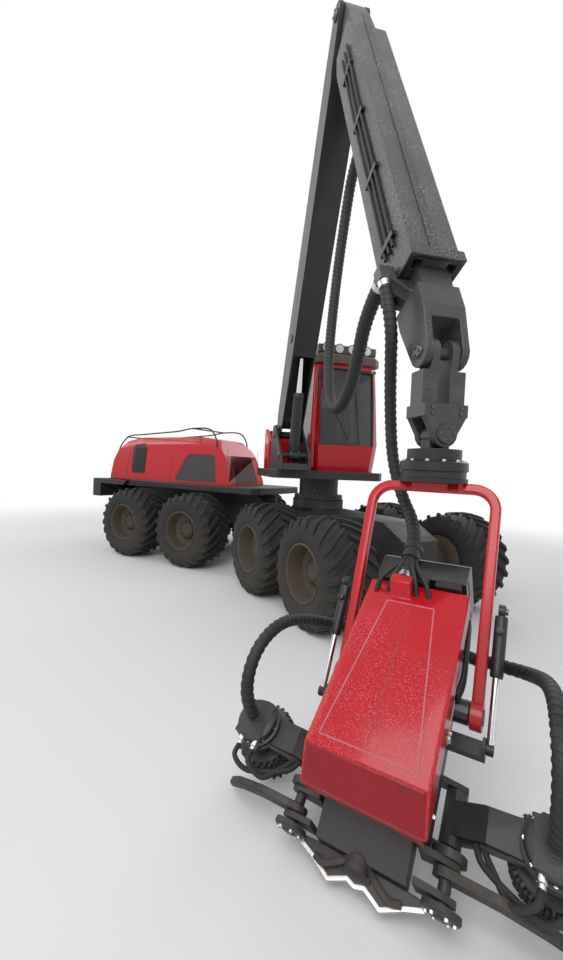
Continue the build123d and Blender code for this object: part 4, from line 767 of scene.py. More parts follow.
def line_of(made):
    """The points of a curve's own line, read from its spline without the bevel."""
    bare = made.data.copy()
    bare.bevel_depth = 0
    stand_in = bpy.data.objects.new("line", bare)
    mesh = bpy.data.meshes.new_from_object(stand_in)
    points = np.empty(len(mesh.vertices) * 3)
    mesh.vertices.foreach_get("co", points)
    bpy.data.meshes.remove(mesh)
    bpy.data.objects.remove(stand_in)
    bpy.data.curves.remove(bare)
    return points.reshape(-1, 3)


class HARVESTER_OT_hoses(bpy.types.Operator):
    """Lays the free hoses and their end fittings"""

    bl_idname = "harvester.hoses"
    bl_label = "Hoses"

    def execute(self, context):
        rubber, steel = finish("hose_rubber"), finish("bright_steel")
        routes = {
            "boom_hose": (boom_hose_points(), 0.11, "outer_body"),
            "head_hose": (head_hose_points(), 0.084, "extension_body"),
            "roller_hose_left": (roller_hose_points(1), 0.072, "head_body"),
            "roller_hose_right": (roller_hose_points(-1), 0.072, "head_body"),
        }
        for name, (points, diameter, body) in routes.items():
            cord = hose_curve(name + "_line", points, diameter * 0.94, body, rubber)
            line = line_of(cord)
            clamps = []
            for end, step in ((0, 1), (-1, -1)):
                away = unit(line[end + 3 * step] - line[end])
                clamps.append(prisms([line[end] + away * 0.004], away, diameter * 0.56, diameter * 0.5, 24))
            collars = piece(name + "_collars", *joined(clamps), body, steel)
            wrap = piece(name + "_wrap", *spiral(line, diameter * 0.47, 0.045, 0.022, 0.008), body, rubber)
            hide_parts(name)
        return {"FINISHED"}


class HARVESTER_OT_wheels(bpy.types.Operator):
    """Builds the tyres with their lugs, and the rims with hubs and bolts"""

    bl_idname = "harvester.wheels"
    bl_label = "Wheels"

    def execute(self, context):
        sizes = context.scene.harvester_wheels
        tyre, rim, hub = finish("tyre_rubber"), finish("rim_paint"), finish("hub_paint")
        nuts = bolt_ring(sizes.bolts, 0.178, "y", (0, 0.098, 0))
        for name, (place, x, side) in WHEELS.items():
            where = place @ shift(x, side * WHEEL_Y, AXLE_Z) @ np.diag([1, side, 1, 1.0])
            tread = joined([tyre_carcass(), tyre_lugs(sizes.lugs, sizes.lug_height)])
            piece(name + "_tyre", *tread, name, tyre, place=where)
            rims = piece(name + "_rim", *rim_surface(), name, rim, place=where)
            piece(name + "_hub", *joined(hub_parts()), name, hub, place=where)
            bolts = prisms(nuts, (0, 1, 0), 0.017, 0.03)
            piece(name + "_bolts", *bolts, name, finish("worn_steel"), False, where)
            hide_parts(name)
        return {"FINISHED"}


def tyre_carcass():
    """The tyre without lugs: a closed profile of y and radius, with a tread crowned by 12 mm at the middle
    and bulged walls, carried round the axle."""
    t = np.linspace(0, 1, 9)
    tread = np.column_stack([-0.285 + 0.57 * t, 0.634 - 0.012 * (2 * t - 1) ** 2])
    wall = [
        (0.322, 0.585), (0.345, 0.53), (0.35, 0.47), (0.345, 0.41), (0.334, 0.375), (0.325, 0.356),
        (0.3, 0.3525),
    ]
    return ring_of(np.concatenate([np.array(wall[::-1]) * (-1, 1), tread, wall]), 96, "y")


def tyre_lugs(count, height):
    """Lugs as swept bars: along each, y runs from the middle to the shoulder while the angle leads by up to
    22 degrees, with a trapezoid section that follows the crown and drops over the shoulder."""
    s = np.linspace(0, 1, 8)
    y = 0.008 + 0.338 * s
    foot = np.interp(y, [0, 0.2, 0.29, 0.325, 0.35], [0.634, 0.631, 0.622, 0.585, 0.53]) - 0.015
    rise = height * np.array([1, 1, 0.9, 0.4, 0])
    top = np.interp(y, [0, 0.2, 0.3, 0.33, 0.35], [0.634, 0.632, 0.622, 0.6, 0.565] + rise)
    lead = radians(22) * s**1.15
    half = 0.024 + 0.014 * s
    rows = grid(len(s), 4, wrap_columns=True)
    ends = np.array([(0, 1, 2, 3), (3, 2, 1, 0) + np.array(4 * (len(s) - 1))])
    base = (np.arange(count) * 4 * len(s))[:, None, None]
    faces = (np.concatenate([rows, ends])[None] + base).reshape(-1, 4)
    parts = []
    for side, offset in ((1, 0.0), (-1, pi / count)):
        angle = bearings(count)[:, None] + offset + lead[None]
        across = np.broadcast_to(side * y, angle.shape)
        corners = []
        for radius, spread in ((foot, 1.25), (top, 0.8), (top, -0.8), (foot, -1.25)):
            bearing = angle + (half * spread / radius)[None]
            corners.append(np.stack([radius * np.sin(bearing), across, radius * np.cos(bearing)], -1))
        parts.append((np.stack(corners, 2).reshape(-1, 3), faces))
    return joined(parts)


def rim_surface():
    """The rim: a closed profile of y and radius, with flange, well, dished disc and back, carried round the
    axle."""
    profile = [
        (0.33, 0.352), (0.336, 0.345), (0.33, 0.333), (0.3, 0.326), (0.2, 0.318), (0.12, 0.305),
        (0.104, 0.28), (0.098, 0.21), (0.096, 0.13), (0.096, 0.1), (0.0, 0.1), (-0.3, 0.1), (-0.325, 0.2),
        (-0.33, 0.3), (-0.33, 0.35), (-0.2, 0.352), (0.2, 0.352),
    ]
    return ring_of(profile, 72, "y")


def hub_parts():
    """The planetary hub: a stepped cap with a ring of ten small screws."""
    cap = [
        (0.09, 0.15), (0.11, 0.15), (0.118, 0.142), (0.15, 0.138), (0.158, 0.128), (0.165, 0.1),
        (0.176, 0.092), (0.176, 0.04), (0.17, 0.03),
    ]
    screws = prisms(bolt_ring(10, 0.112, "y", (0, 0.154, 0)), (0, 1, 0), 0.009, 0.014)
    return [revolved(cap, 48, "y"), screws]


class HARVESTER_OT_chassis(bpy.types.Operator):
    """Dresses both frames, the bogies, the deck, the engine and the slewing platform"""

    bl_idname = "harvester.chassis"
    bl_label = "Chassis"

    def execute(self, context):
        black, platform = finish("frame_paint"), finish("platform_paint")
        for node in ("front_frame", "rear_frame", "front_bogies", "rear_bogies", "deck_tank"):
            rounded_copy(node, black, 0.014)
        rounded_copy("turntable", platform, 0.012)
        rounded_copy("engine_block", finish("cast_iron"), 0.03)
        ring = prisms(bolt_ring(36, 0.395, "z", (0, 0, 1.45)), (0, 0, 1), 0.014, 0.018)
        piece("slew_bolts", *ring, "upper_body", finish("worn_steel"), False, UPPER)
        for name, place, x, body in (("front", FRONT, 2.145, "chassis"), ("rear", REAR, -2.16, "rear_body")):
            covers = [
                prisms([(x + axle, side * 0.735, AXLE_Z)], (0, side, 0), 0.165, 0.02, 32)
                for axle in (-HALF_BOGIE, HALF_BOGIE)
                for side in (1, -1)
            ]
            piece(name + "_bogie_covers", *joined(covers), body, black, place=place)
        return {"FINISHED"}


class HARVESTER_OT_hood(bpy.types.Operator):
    """Dresses the engine hood with its screens, louvres, panel seams and rail"""

    bl_idname = "harvester.hood"
    bl_label = "Hood"

    def execute(self, context):
        sizes = context.scene.harvester_roundings
        rounded_copy("hood_shell", finish("red_paint"), sizes.hood, 3)
        painted("hood_grilles", finish("hood_mesh"))
        black = finish("black_plastic")
        z = np.arange(1.69, 2.22, 0.045)
        for side_name, side in SIDES:
            ends = [on_flank(x, side, z, 0.003) for x in (-3.47, -3.14)]
            piece("hood_louvres_" + side_name, *bars(*ends, 0.02, 0.022), "hood", black, False, REAR)
        rail = [
            (-4.066, 1.88), (-4.29, 2.11), (-4.0, 2.44), (-3.45, 2.5), (-2.5, 2.56), (-2.05, 2.62),
            (-1.6, 2.6), (-1.42, 2.4), (-1.4, 2.2),
        ]
        half_rail = 0.52
        runs = []
        for _, side in SIDES:
            run = smooth_line([(x, side * half_rail, z) for x, z in rail], 90)
            runs.append(tube(run, 0.015, up=(0, 1, 0)))
        for x, z in (rail[1], rail[2], rail[5]):
            crossbar = np.linspace((x + 0.014, -half_rail, z), (x + 0.014, half_rail, z), 12)
            runs.append(tube(crossbar, 0.014))
        rails = piece("hood_rail_tubes", *joined(runs), "hood", black, place=REAR)
        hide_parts("hood_rail")
        z = np.linspace(1.56, 2.2, 20)
        seams = [
            tube(on_flank(x, side, z, -0.001), 0.004, 6, (1, 0, 0))
            for x in (-3.62, -2.42, -1.12)
            for _, side in SIDES
        ]
        piece("hood_seams", *joined(seams), "hood", black, place=REAR)
        return {"FINISHED"}


def hood_side(x, z):
    """Half width of the hood's flank at x and z: straight from 0.9 at the rear to 0.62 at the nose, less up
    to 0.19 from the shoulder to the top."""
    half = 0.9 + (0.62 - 0.9) * (x + 4.08) / 3.08
    shoulder, top = 1.5553, 2.7
    return half - 0.19 * np.clip((z - shoulder) / (top - shoulder), 0, 1)


def on_flank(x, side, z, proud):
    """Points up the hood's flank at x, standing proud of it."""
    return np.column_stack([np.full(len(z), x), side * (hood_side(x, z) + proud), z])


class HARVESTER_OT_cab(bpy.types.Operator):
    """Dresses the cab with its door, roof, glazing, seat, lamps, wipers, trim and guard"""

    bl_idname = "harvester.cab"
    bl_label = "Cab"

    def execute(self, context):
        sizes = context.scene.harvester_roundings
        red, black, lens = finish("red_paint"), finish("black_plastic"), finish("lamp_lens")
        rounded_copy("cab_shell", red, sizes.cab)
        rounded_copy("cab_door", red, sizes.cab * 0.6)
        rounded_copy("cab_roof", finish("roof_plastic"), 0.02, 3)
        rounded_copy("crane_guard", red, 0.01)
        for node in ("cab_glass", "door_glass"):
            painted(node, finish("cab_glazing"))
        self.seat()
        lamps = [(0.345, y, 3.875) for y in (-0.08, 0.14, 0.36, 0.62)]
        shell = [(-0.07, 0.03), (-0.05, 0.07), (0.0, 0.082), (0.012, 0.082), (0.012, 0.074)]
        face = [(0.008, 0.074), (0.018, 0.06), (0.022, 0.03), (0.023, 0.004)]
        for name, profile, material in (("shells", shell, finish("lamp_housing")), ("lenses", face, lens)):
            turned = joined([revolved(profile, 32, "x", centre) for centre in lamps])
            piece("roof_lamp_" + name, *turned, "upper_body", material, place=UPPER)
        self.wipers(black)
        self.trim(black)
        return {"FINISHED"}

    def seat(self):
        """Cushion, back and head rest as crowned pillows; arm rests, joysticks, a pedestal and a screen."""
        cloth, black = finish("seat_cloth"), finish("black_plastic")
        middle = arm = 0.285
        cushions = {
            "seat_cushion": ((-0.38, middle, 2.29), (0.5, 0.48, 0.14)),
            "seat_back": ((-0.63, middle, 2.68), (0.14, 0.46, 0.68)),
            "seat_head_rest": ((-0.71, middle, 2.99), (0.1, 0.26, 0.15)),
        }
        for name, (centre, size) in cushions.items():
            cushion = piece(name, *pillow(centre, size), "upper_body", cloth, place=UPPER)
        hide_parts("cab_seat")
        fittings = []
        for y in (middle + arm, middle - arm):
            stick = smooth_line([(-0.12, y, 2.55), (-0.11, y, 2.62), (-0.13, y, 2.7)], 12)
            fittings += [pillow((-0.36, y, 2.53), (0.5, 0.09, 0.07), 4), tube(stick, 0.022)]
        pedestal = [(1.92, 0.2), (1.95, 0.2), (1.98, 0.1), (2.2, 0.1), (2.22, 0.16), (2.24, 0.16)]
        fittings.append(revolved(pedestal, 32, "z", (-0.38, middle, 0)))
        piece("seat_fittings", *joined(fittings), "upper_body", black, place=UPPER)
        screen = plate(block_of(0.32, 0.22), -0.014, 0.014, "yzx")
        where = UPPER @ shift(0.2, -0.1, 2.62) @ turn_z(-28)
        bevelled(piece("cab_screen", *screen, "upper_body", black, False, where), 0.006)

    def wipers(self, black):
        """The windscreen's long wipers: an arm and a blade each."""
        parts = []
        feet, tips = [(0.449, 0.262, 2.5), (0.449, 0.5, 2.45)], [(0.401, -0.1, 3.2), (0.401, 0.42, 3.25)]
        for foot, tip in zip(np.array(feet), np.array(tips)):
            lean = unit(tip - foot)
            ahead = tip - (0.004, 0, 0)
            parts.append(bars([foot - lean * 0.12], [tip], 0.018, 0.014, (1, 0, 0)))
            parts.append(bars([ahead - lean * 0.45], [ahead + lean * 0.3], 0.03, 0.012, (1, 0, 0)))
        piece("wipers", *joined(parts), "upper_body", black, False, UPPER)

    def trim(self, black):
        """The rubber seal round the windscreen and the red strip down the cab's front pillar."""
        seal = [
            (0.478, -0.17, 2.3), (0.47, -0.165, 2.8), (0.404, -0.15, 3.49), (0.4, 0.7, 3.5),
            (0.4, 0.72, 3.49), (0.47, 0.73, 2.8), (0.478, 0.74, 2.3),
        ]
        strip = tube(smooth_line(seal, 80), 0.012, 8, (1, 0, 0))
        piece("windscreen_seal", *strip, "upper_body", black, place=UPPER)
        pillar = [
            (0.484, -0.29, 1.93), (0.486, -0.285, 2.4), (0.468, -0.27, 2.9), (0.42, -0.245, 3.3),
            (0.34, -0.2, 3.55),
        ]
        strip = swept(smooth_line(pillar, 50), rounded_box(0.05, 0.03, 4, 16), (1, 0, 0))
        piece("cab_pillar", *strip, "upper_body", finish("red_paint"), place=UPPER)


class HARVESTER_OT_crane(bpy.types.Operator):
    """Dresses the booms, the cylinders and the lines along them"""

    bl_idname = "harvester.crane"
    bl_label = "Crane"

    def execute(self, context):
        sizes = context.scene.harvester_roundings
        grey, frosted = finish("crane_paint"), finish("frosted_paint")
        rounded_copy("inner_boom", grey, sizes.boom)
        rounded_copy("outer_boom", frosted, sizes.boom)
        rounded_copy("boom_extension", finish("link_paint"), sizes.boom * 0.7)
        rounded_copy("upper_link", finish("link_paint"), sizes.boom * 0.6)
        self.cylinders()
        self.lines()
        self.pins()
        self.boom_fittings()
        return {"FINISHED"}

    def boom_fittings(self):
        """The lip round the outer boom's mouth, at half width and half height times the signed powers of the
        cosine and sine, its top ridge, and the link's caps with their bolts."""
        grey, steel = finish("crane_paint"), finish("worn_steel")
        t = np.linspace(0, 2 * pi, 73)
        wide, high = 0.184 * signed_power(np.cos(t), 9), 0.218 * signed_power(np.sin(t), 9)
        loop = np.column_stack([np.full(len(t), 3.955), wide, high])
        lip = swept(loop, rounded_box(0.03, 0.06, 4, 12), (1, 0, 0))
        piece("mouth_lip", *lip, "outer_body", grey, place=OUTER)
        ridge = bars([(0.5, 0, 0.214)], [(3.9, 0, 0.214)], 0.07, 0.016)
        bevelled(piece("boom_ridge", *ridge, "outer_body", finish("frosted_paint"), False, OUTER), 0.004)
        caps, bolts = [], []
        for _, side in SIDES:
            inside, face = side * 0.113, side * 0.13
            cap = [(inside, 0.05), (inside, 0.064), (face, 0.06), (face, 0.03)]
            caps.append(revolved(cap, 40, "x", (0, 0, LINK_PIN_Z)))
            ring = bolt_ring(6, 0.045, "x", (face - side * 0.003, 0, LINK_PIN_Z))
            bolts.append(prisms(ring, (side, 0, 0), 0.009, 0.009))
            corners = [(side * 0.112, y, z) for y in (-0.1, 0.1) for z in (-0.36, -0.395)]
            bolts.append(prisms(corners, (side, 0, 0), 0.012, 0.01))
        piece("link_caps", *joined(caps), "link", finish("link_paint"), place=TIP)
        piece("link_bolts", *joined(bolts), "link", steel, False, TIP)

    def cylinders(self):
        """Each cylinder as turned pieces: barrel with gland and neck, rod with its eye."""
        grey, chrome = finish("crane_paint"), finish("rod_chrome")
        for barrel_name, rod_name, nodes, first, place, barrel, rod in cylinder_table():
            barrel_body, rod_body = (BODY_OF[node] for node in nodes)
            rod_radius, start, end, eye_radius, eye_half = rod
            parts = joined(barrel_parts(*barrel, rod_radius))
            skin = piece(barrel_name + "_turned", *parts, barrel_body, grey, place=place)
            neck_start, neck_end = end - eye_radius * 1.5, end - eye_radius * 0.75
            neck = [(neck_start + 0.004, rod_radius * 1.2), (neck_end, rod_radius * 1.2)]
            bar = revolved([(start, rod_radius), (neck_start, rod_radius), *neck])
            rod_skin = piece(rod_name + "_turned", *bar, rod_body, chrome, place=place)
            hole = 0.55 * eye_radius
            eye = [(-eye_half, hole), (-eye_half, eye_radius), (eye_half, eye_radius), (eye_half, hole)]
            piece(rod_name + "_eye", *ring_of(eye, 48, "y", (end, 0, 0)), rod_body, grey, place=place)
            if first:
                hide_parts(nodes[0])
                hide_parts(nodes[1])

    def lines(self):
        """Hard lines and hoses along the booms, with their clamps."""
        rubber, grey = finish("hose_rubber"), finish("crane_paint")
        radius = 0.0125
        runs, clamps = [], []
        for y in (-0.075, -0.045, 0.045, 0.075):
            line = [(0.35, y, 0.215), (1.0, y, 0.228), (1.5, y, 0.24), (2.02, y, 0.232)]
            runs.append(tube(smooth_line(line, 60), radius, 10))
        for x in (0.6, 1.1, 1.6):
            z = 0.2 + 0.025 * min(1, (x - 0.25) / 1.25)
            clamps.append(bars([(x, -0.1, z + 0.02)], [(x, 0.1, z + 0.02)], 0.05, 0.04))
        piece("inner_boom_lines", *joined(runs), "inner_body", rubber, place=INNER)
        piece("inner_boom_clamps", *joined(clamps), "inner_body", grey, False, INNER)
        runs, clamps = [], []
        for z in (-0.06, 0.0, 0.06):
            line = [(0.9, -0.197, z + 0.03), (1.8, -0.197, z), (2.8, -0.197, z), (3.7, -0.197, z)]
            runs.append(tube(smooth_line(line, 70), radius, 10))
        for x in (1.2, 2.0, 2.8, 3.6):
            clamps.append(bars([(x, -0.195, -0.1)], [(x, -0.195, 0.1)], 0.045, 0.03, (0, 1, 0)))
        piece("outer_boom_lines", *joined(runs), "outer_body", rubber, place=OUTER)
        piece("outer_boom_clamps", *joined(clamps), "outer_body", grey, False, OUTER)

    def pins(self):
        """Pin caps with keeper plates at the crane's joints."""
        steel = finish("worn_steel")
        caps = {
            "foot_pin": (CRANE, "upper_body", [(0, 0, 0), (0.43, 0, -0.33)], 0.235, 0.06),
            "elbow_pin": (OUTER, "outer_body", [(0, 0, 0)], 0.178, 0.06),
            "tip_pin": (TIP, "extension_body", [(0, 0, 0)], 0.153, 0.045),
        }
        for name, (place, body, centres, half, radius) in caps.items():
            parts = []
            for x, y, z, side in ((*centre, side) for centre in centres for _, side in SIDES):
                at = np.array([x, y + side * half, z])
                parts.append(prisms([at], (0, side, 0), radius, 0.014, 32))
                ring = bolt_ring(3, radius * 0.6, "y", at + (0, side * 0.013, 0), pi / 2)
                parts.append(prisms(ring, (0, side, 0), 0.011, 0.01))
            piece(name + "_caps", *joined(parts), body, steel, False, place)


def along_cylinder(place, base, eye, upright=False):
    """The frame of a cylinder and its length: x from its base pin to its eye. It lies in the plane of x and
    z, or with upright pins in the plane of x and y, at the steering's height."""
    run, rise = eye[0] - base[0], eye[1] - base[1]
    angle = atan2(rise, run)
    if upright:
        pins_up = np.array([[1, 0, 0, 0], [0, 0, -1, 0], [0, 1, 0, 0], [0, 0, 0, 1.0]])
        where = place @ shift(base[0], base[1], STEER_PIN_Z) @ turn_z(np.degrees(angle)) @ pins_up
        return where, hypot(run, rise)
    return place @ shift(base[0], 0, base[1]) @ turn_y(-np.degrees(angle)), hypot(run, rise)


def about(point, degrees):
    """A flat point turned about the origin."""
    a = radians(degrees)
    return point[0] * cos(a) - point[1] * sin(a), point[0] * sin(a) + point[1] * cos(a)


def barrel_parts(radius, length, neck, eye_radius, eye_half, rod_radius):
    """A barrel turned about x with the groove before its gland, its eye about y, the block between both and
    a port on top."""
    groove = length - radius * 1.08
    outline = [
        (neck, eye_half * 0.7), (neck + 0.01, radius * 0.96), (neck + 0.03, radius),
        (groove - radius * 0.02, radius), (groove, radius * 0.94), (groove + radius * 0.06, radius),
        (length - 0.012, radius), (length, radius * 0.9), (length, rod_radius + 0.002),
    ]
    half_eye = [(eye_half, 0.5 * eye_radius), (eye_half, 0.96 * eye_radius), (0.9 * eye_half, eye_radius)]
    eye = [(-s, r) for s, r in half_eye] + half_eye[::-1]
    shoulder = 0.62 * eye_radius
    foot = [(0, -shoulder), (neck + 0.01, -shoulder), (neck + 0.01, shoulder), (0, shoulder)]
    port = [(0, 0.02), (radius + 0.03, 0.02), (radius + 0.032, 0.014)]
    return [
        revolved(outline),
        revolved(eye, axis="y"),
        plate(foot, -eye_half * 0.98, eye_half * 0.98, "xzy"),
        revolved(port, 16, "z", (neck + 0.09, 0, 0)),
    ]


def cylinder_table():
    """Every cylinder: the names of its barrel and rod, their two nodes, whether it is the one that replaces
    them, its place, its barrel (radius, length, neck, eye radius, eye half) and its rod (radius, start, end,
    eye radius, eye half)."""
    rows = []

    def add(part, ending, nodes, first, place, barrel, rod):
        names = (part + "_barrel" + ending, part + "_rod" + ending)
        rows.append((*names, nodes or names, first, place, barrel, rod))

    place, length = along_cylinder(CRANE, (0.43, -0.33), about((1.5, -0.02), INNER_ELEVATION))
    rod = (0.045, length - 0.955, length, 0.075, 0.08)
    add("lift", "", None, True, place, (0.08, 0.93, 0.06, 0.088, 0.08), rod)
    horn = about((0.42, 0), 65)
    place, length = along_cylinder(INNER, (2.35, 0.36), (INNER_LENGTH + horn[0], horn[1]))
    rod = (0.042, length - 1.56, length, 0.062, 0.05)
    add("knuckle", "", None, True, place, (0.072, 1.35, 0.175, 0.065, 0.05), rod)
    for side_name, side in SIDES:
        eye = about((-0.38, side * 0.51), ARTICULATION)
        place, length = along_cylinder(FRONT, (1.0, side * 0.46), eye, True)
        rod = (0.03, length - 0.926, length, 0.044, 0.04)
        add("steer", "_" + side_name, None, True, place, (0.052, 0.82, 0.125, 0.048, 0.04), rod)
    eye = about((0.14, -0.005), -HEAD_SLOPE)
    place, length = along_cylinder(HOOP @ shift(*TILT_PIVOT), leg_point(TILT_FOOT_UP), eye)
    rod = (0.018, length - 0.385, length, 0.03, 0.017)
    for side_name, side in SIDES:
        nodes = ("tilt_barrels", "tilt_rods")
        where = place @ shift(0, side * 0.455, 0)
        add("tilt", "_" + side_name, nodes, side == 1, where, (0.032, 0.345, 0.022, 0.034, 0.017), rod)
    return rows


def leg_point(up):
    """The point that stands up the hoop's leg by a length, from the tilt pivot, as x and z."""
    leg = hypot(TILT_PIVOT[0], TILT_PIVOT[2])
    return -TILT_PIVOT[0] / leg * up, -TILT_PIVOT[2] / leg * up


class HARVESTER_OT_head(bpy.types.Operator):
    """Dresses the rotator, the hoop and the harvester head"""

    bl_idname = "harvester.head"
    bl_label = "Head"

    def execute(self, context):
        sizes = context.scene.harvester_roundings
        red, dark = finish("red_paint"), finish("head_paint")
        self.hoop(red)
        rounded_copy("head_frame", dark, sizes.head)
        rounded_copy("head_cover", finish("red_cover"), 0.012, 3)
        rounded_copy("front_knife", dark, 0.004)
        rounded_copy("saw_bar", finish("bright_steel"), 0.002)
        for side_name, side in SIDES:
            rounded_copy("knife_" + side_name, finish("worn_steel"), 0.006)
            rounded_copy("feed_arm_" + side_name, dark, sizes.head)
            self.roller(side_name, side)
            self.arm_fittings(side_name, side)
        self.rotator()
        self.cutting_edge()
        self.cover_fittings()
        return {"FINISHED"}

    def hoop(self, red):
        """The red hoop: a rounded square section carried up one leg, across and down the other, with
        quarter-circle corners, on legs that lean forward; below, its two bosses and the tilt cylinders' pins,
        and on the crossbar its plate and tab."""
        lean, corner, half, leg = atan2(TILT_PIVOT[0], -TILT_PIVOT[2]), 0.13, 0.379, 1.2
        turn = np.linspace(0, pi / 2, 12)
        arc = np.column_stack([half - corner * (1 - np.cos(turn)), corner * (np.sin(turn) - 1)])
        down = np.column_stack([np.full(14, half), np.linspace(-leg, -corner - 0.01, 14)])
        right = np.concatenate([down, arc, [(half - corner - 0.01, 0), (0.12, 0)]])
        flat = np.concatenate([right, right[::-1] * (-1, 1)])
        line = np.column_stack([-flat[:, 1] * sin(lean), flat[:, 0], flat[:, 1] * cos(lean)])
        frame_tube = swept(line, rounded_box(0.06, 0.06), (cos(lean), 0, sin(lean)))
        boss = [
            (0.35, 0.041), (0.348, 0.046), (0.348, 0.07), (0.352, 0.075), (0.406, 0.075), (0.41, 0.07),
            (0.41, 0.041),
        ]
        bosses = [ring_of(np.array(boss) * (side, 1), 48, "y", TILT_PIVOT) for _, side in SIDES]
        skin = piece("hoop_tube", *joined([frame_tube, *bosses]), "hoop_body", red, place=HOOP)
        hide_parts("tilt_frame")
        foot = plate(block_of(0.18, 0.22), -0.031, 0.031)
        bevelled(piece("hoop_plate", *foot, "hoop_body", red, False, HOOP), 0.006)
        tab = [(0.16, -0.02), (0.19, -0.02), (0.19, 0.075), (0.175, 0.09), (0.16, 0.075)]
        tab = plate(tab, 0.028, 0.04, "yzx")
        bevelled(piece("hoop_tab", *tab, "hoop_body", red, False, HOOP), 0.003)
        x, z = leg_point(TILT_FOOT_UP)
        pins = [
            prisms([np.array(TILT_PIVOT) + (x, side * 0.44, z)], (0, side, 0), 0.02, 0.045, 20)
            for _, side in SIDES
        ]
        piece("hoop_pins", *joined(pins), "hoop_body", finish("worn_steel"), place=HOOP)

    def arm_fittings(self, side_name, side):
        """On each feed arm: the round motor with its screws, ports and hoses, and the arm's two cheeks; on
        the head beside it, the caps of the arm's and the knife's pins, their bolts and three lines."""
        dark, steel, rubber = finish("head_paint"), finish("bright_steel"), finish("hose_rubber")
        body = "feed_arm_%s_body" % side_name
        middle = (ROLLER_X, side * ROLLER_Y)
        motor = [
            (-0.034, 0.1), (-0.033, 0.128), (-0.01, 0.13), (-0.006, 0.12), (0.01, 0.12), (0.014, 0.128),
            (0.03, 0.128), (0.034, 0.116), (0.07, 0.112), (0.078, 0.1), (0.0795, 0.06),
        ]
        piece("motor_" + side_name, *revolved(motor, 48, "z", (*middle, 0)), body, dark, place=HEAD)
        screws = [prisms(bolt_ring(8, 0.112, "z", (*middle, 0.026)), (0, 0, 1), 0.011, 0.014)]
        port = [(0, 0.022), (0.03, 0.022), (0.034, 0.016), (0.05, 0.016)]
        ports = [revolved(port, 20, "x", (0.545, side * (ROLLER_Y + off), 0.04)) for off in (-0.045, 0.045)]
        piece("motor_screws_" + side_name, *joined(screws + ports), body, steel, False, HEAD)
        loops = []
        for y, far in ((0.685, 0.0), (0.775, 0.03)):
            loop = np.array([
                (0.59, y, 0.04), (0.66, y - 0.02, 0.06), (0.68, y - 0.1, 0.0), (0.6, 0.52 - far, -0.03),
                (0.53, 0.47 - far, -0.05),
            ])
            loops.append(tube(smooth_line(loop * (1, side, 1), 40), 0.014, 10, (0.2, 0.1, 1)))
        piece("motor_hoses_" + side_name, *joined(loops), body, rubber, place=HEAD)
        cheek = [(0.36, -0.115), (0.46, -0.04), (0.7, 0.0), (0.7, -0.02), (0.47, -0.085), (0.37, -0.175)]
        cheeks = [plate(np.array(cheek) * (side, 1), x, x + 0.016, "yzx") for x in (0.366, 0.518)]
        bevelled(piece("arm_cheeks_" + side_name, *joined(cheeks), body, dark, False, HEAD), 0.003)
        arm_cap = [(0.588, 0.05), (0.592, 0.064), (0.612, 0.064), (0.618, 0.056), (0.62, 0.03)]
        knife_cap = [
            (0.79, 0.05), (0.792, 0.078), (0.812, 0.08), (0.822, 0.072), (0.824, 0.034), (0.83, 0.03),
        ]
        lug_cap = [(0.6, 0.066), (0.604, 0.072), (0.636, 0.072), (0.637, 0.06)]
        knife_pin = (0, side * KNIFE_PIN_Y, KNIFE_PIN_Z)
        caps = [revolved(cap, 40, "x", knife_pin) for cap in (knife_cap, lug_cap)]
        caps.append(revolved(arm_cap, 40, "x", (0, side * 0.33, -0.15)))
        piece("pin_caps_" + side_name, *joined(caps), "head_body", dark, place=HEAD)
        ring = bolt_ring(6, 0.056, "x", np.add(knife_pin, (0.822, 0, 0)))
        spots = ((-0.45, 0.1), (-0.45, -0.03), (-0.2, 0.12), (0.3, 0.14), (0.42, 0.1), (0.52, 0.02))
        bolts = [
            prisms(ring, (1, 0, 0), 0.01, 0.01),
            prisms([(x, side * HEAD_PLATE_Y, z) for x, z in spots], (0, side, 0), 0.016, 0.014),
        ]
        piece("head_bolts_" + side_name, *joined(bolts), "head_body", steel, False, HEAD)
        route = np.array([(-0.5, 0.275, 0), (-0.3, 0.29, 0.01), (-0.12, 0.3, 0.03), (0.0, 0.285, 0.05)])
        route = smooth_line(route * (1, side, 1), 40)
        lines = [tube(route + (0, 0, z), 0.012, 10) for z in (0.03, 0.065, 0.1)]
        piece("side_lines_" + side_name, *joined(lines), "head_body", rubber, place=HEAD)

    def cutting_edge(self):
        """The ground edge along the front knife's outline, and the upper knife's hub with its two horns."""
        half = np.array([(0.801, 0.284), (0.831, 0.284), (0.857, 0.214), (0.904, 0.12), (0.867, 0.04)])
        edge = np.concatenate([half * (1, -1), [(0.879, 0.0)], half[::-1]])
        line = np.column_stack([edge - (0.004, 0), np.full(len(edge), -0.058)])
        steps = np.linspace(0, len(line) - 1, 81)
        fine = np.column_stack([np.interp(steps, np.arange(len(line)), line[:, k]) for k in range(3)])
        ground = swept(fine, rounded_box(0.022, 0.027, 4, 12))
        piece("knife_edge", *ground, "head_body", finish("bright_steel"), place=HEAD)
        hub = [(0.775, 0.03), (0.778, 0.05), (0.83, 0.052), (0.836, 0.04), (0.838, 0.02)]
        horn = [(0.792, 0.04, -0.03), (0.83, 0.09, -0.018), (0.86, 0.15, -0.026), (0.85, 0.2, -0.036)]
        horns = [smooth_line(np.array(horn) * (1, side, 1), 24) for _, side in SIDES]
        parts = [swept(line, rounded_box(0.03, 0.018, 4, 12)) for line in horns]
        parts.append(revolved(hub, 32, "x", (0, 0, KNIFE_PIN_Z)))
        piece("knife_horns", *joined(parts), "head_body", finish("worn_steel"), place=HEAD)

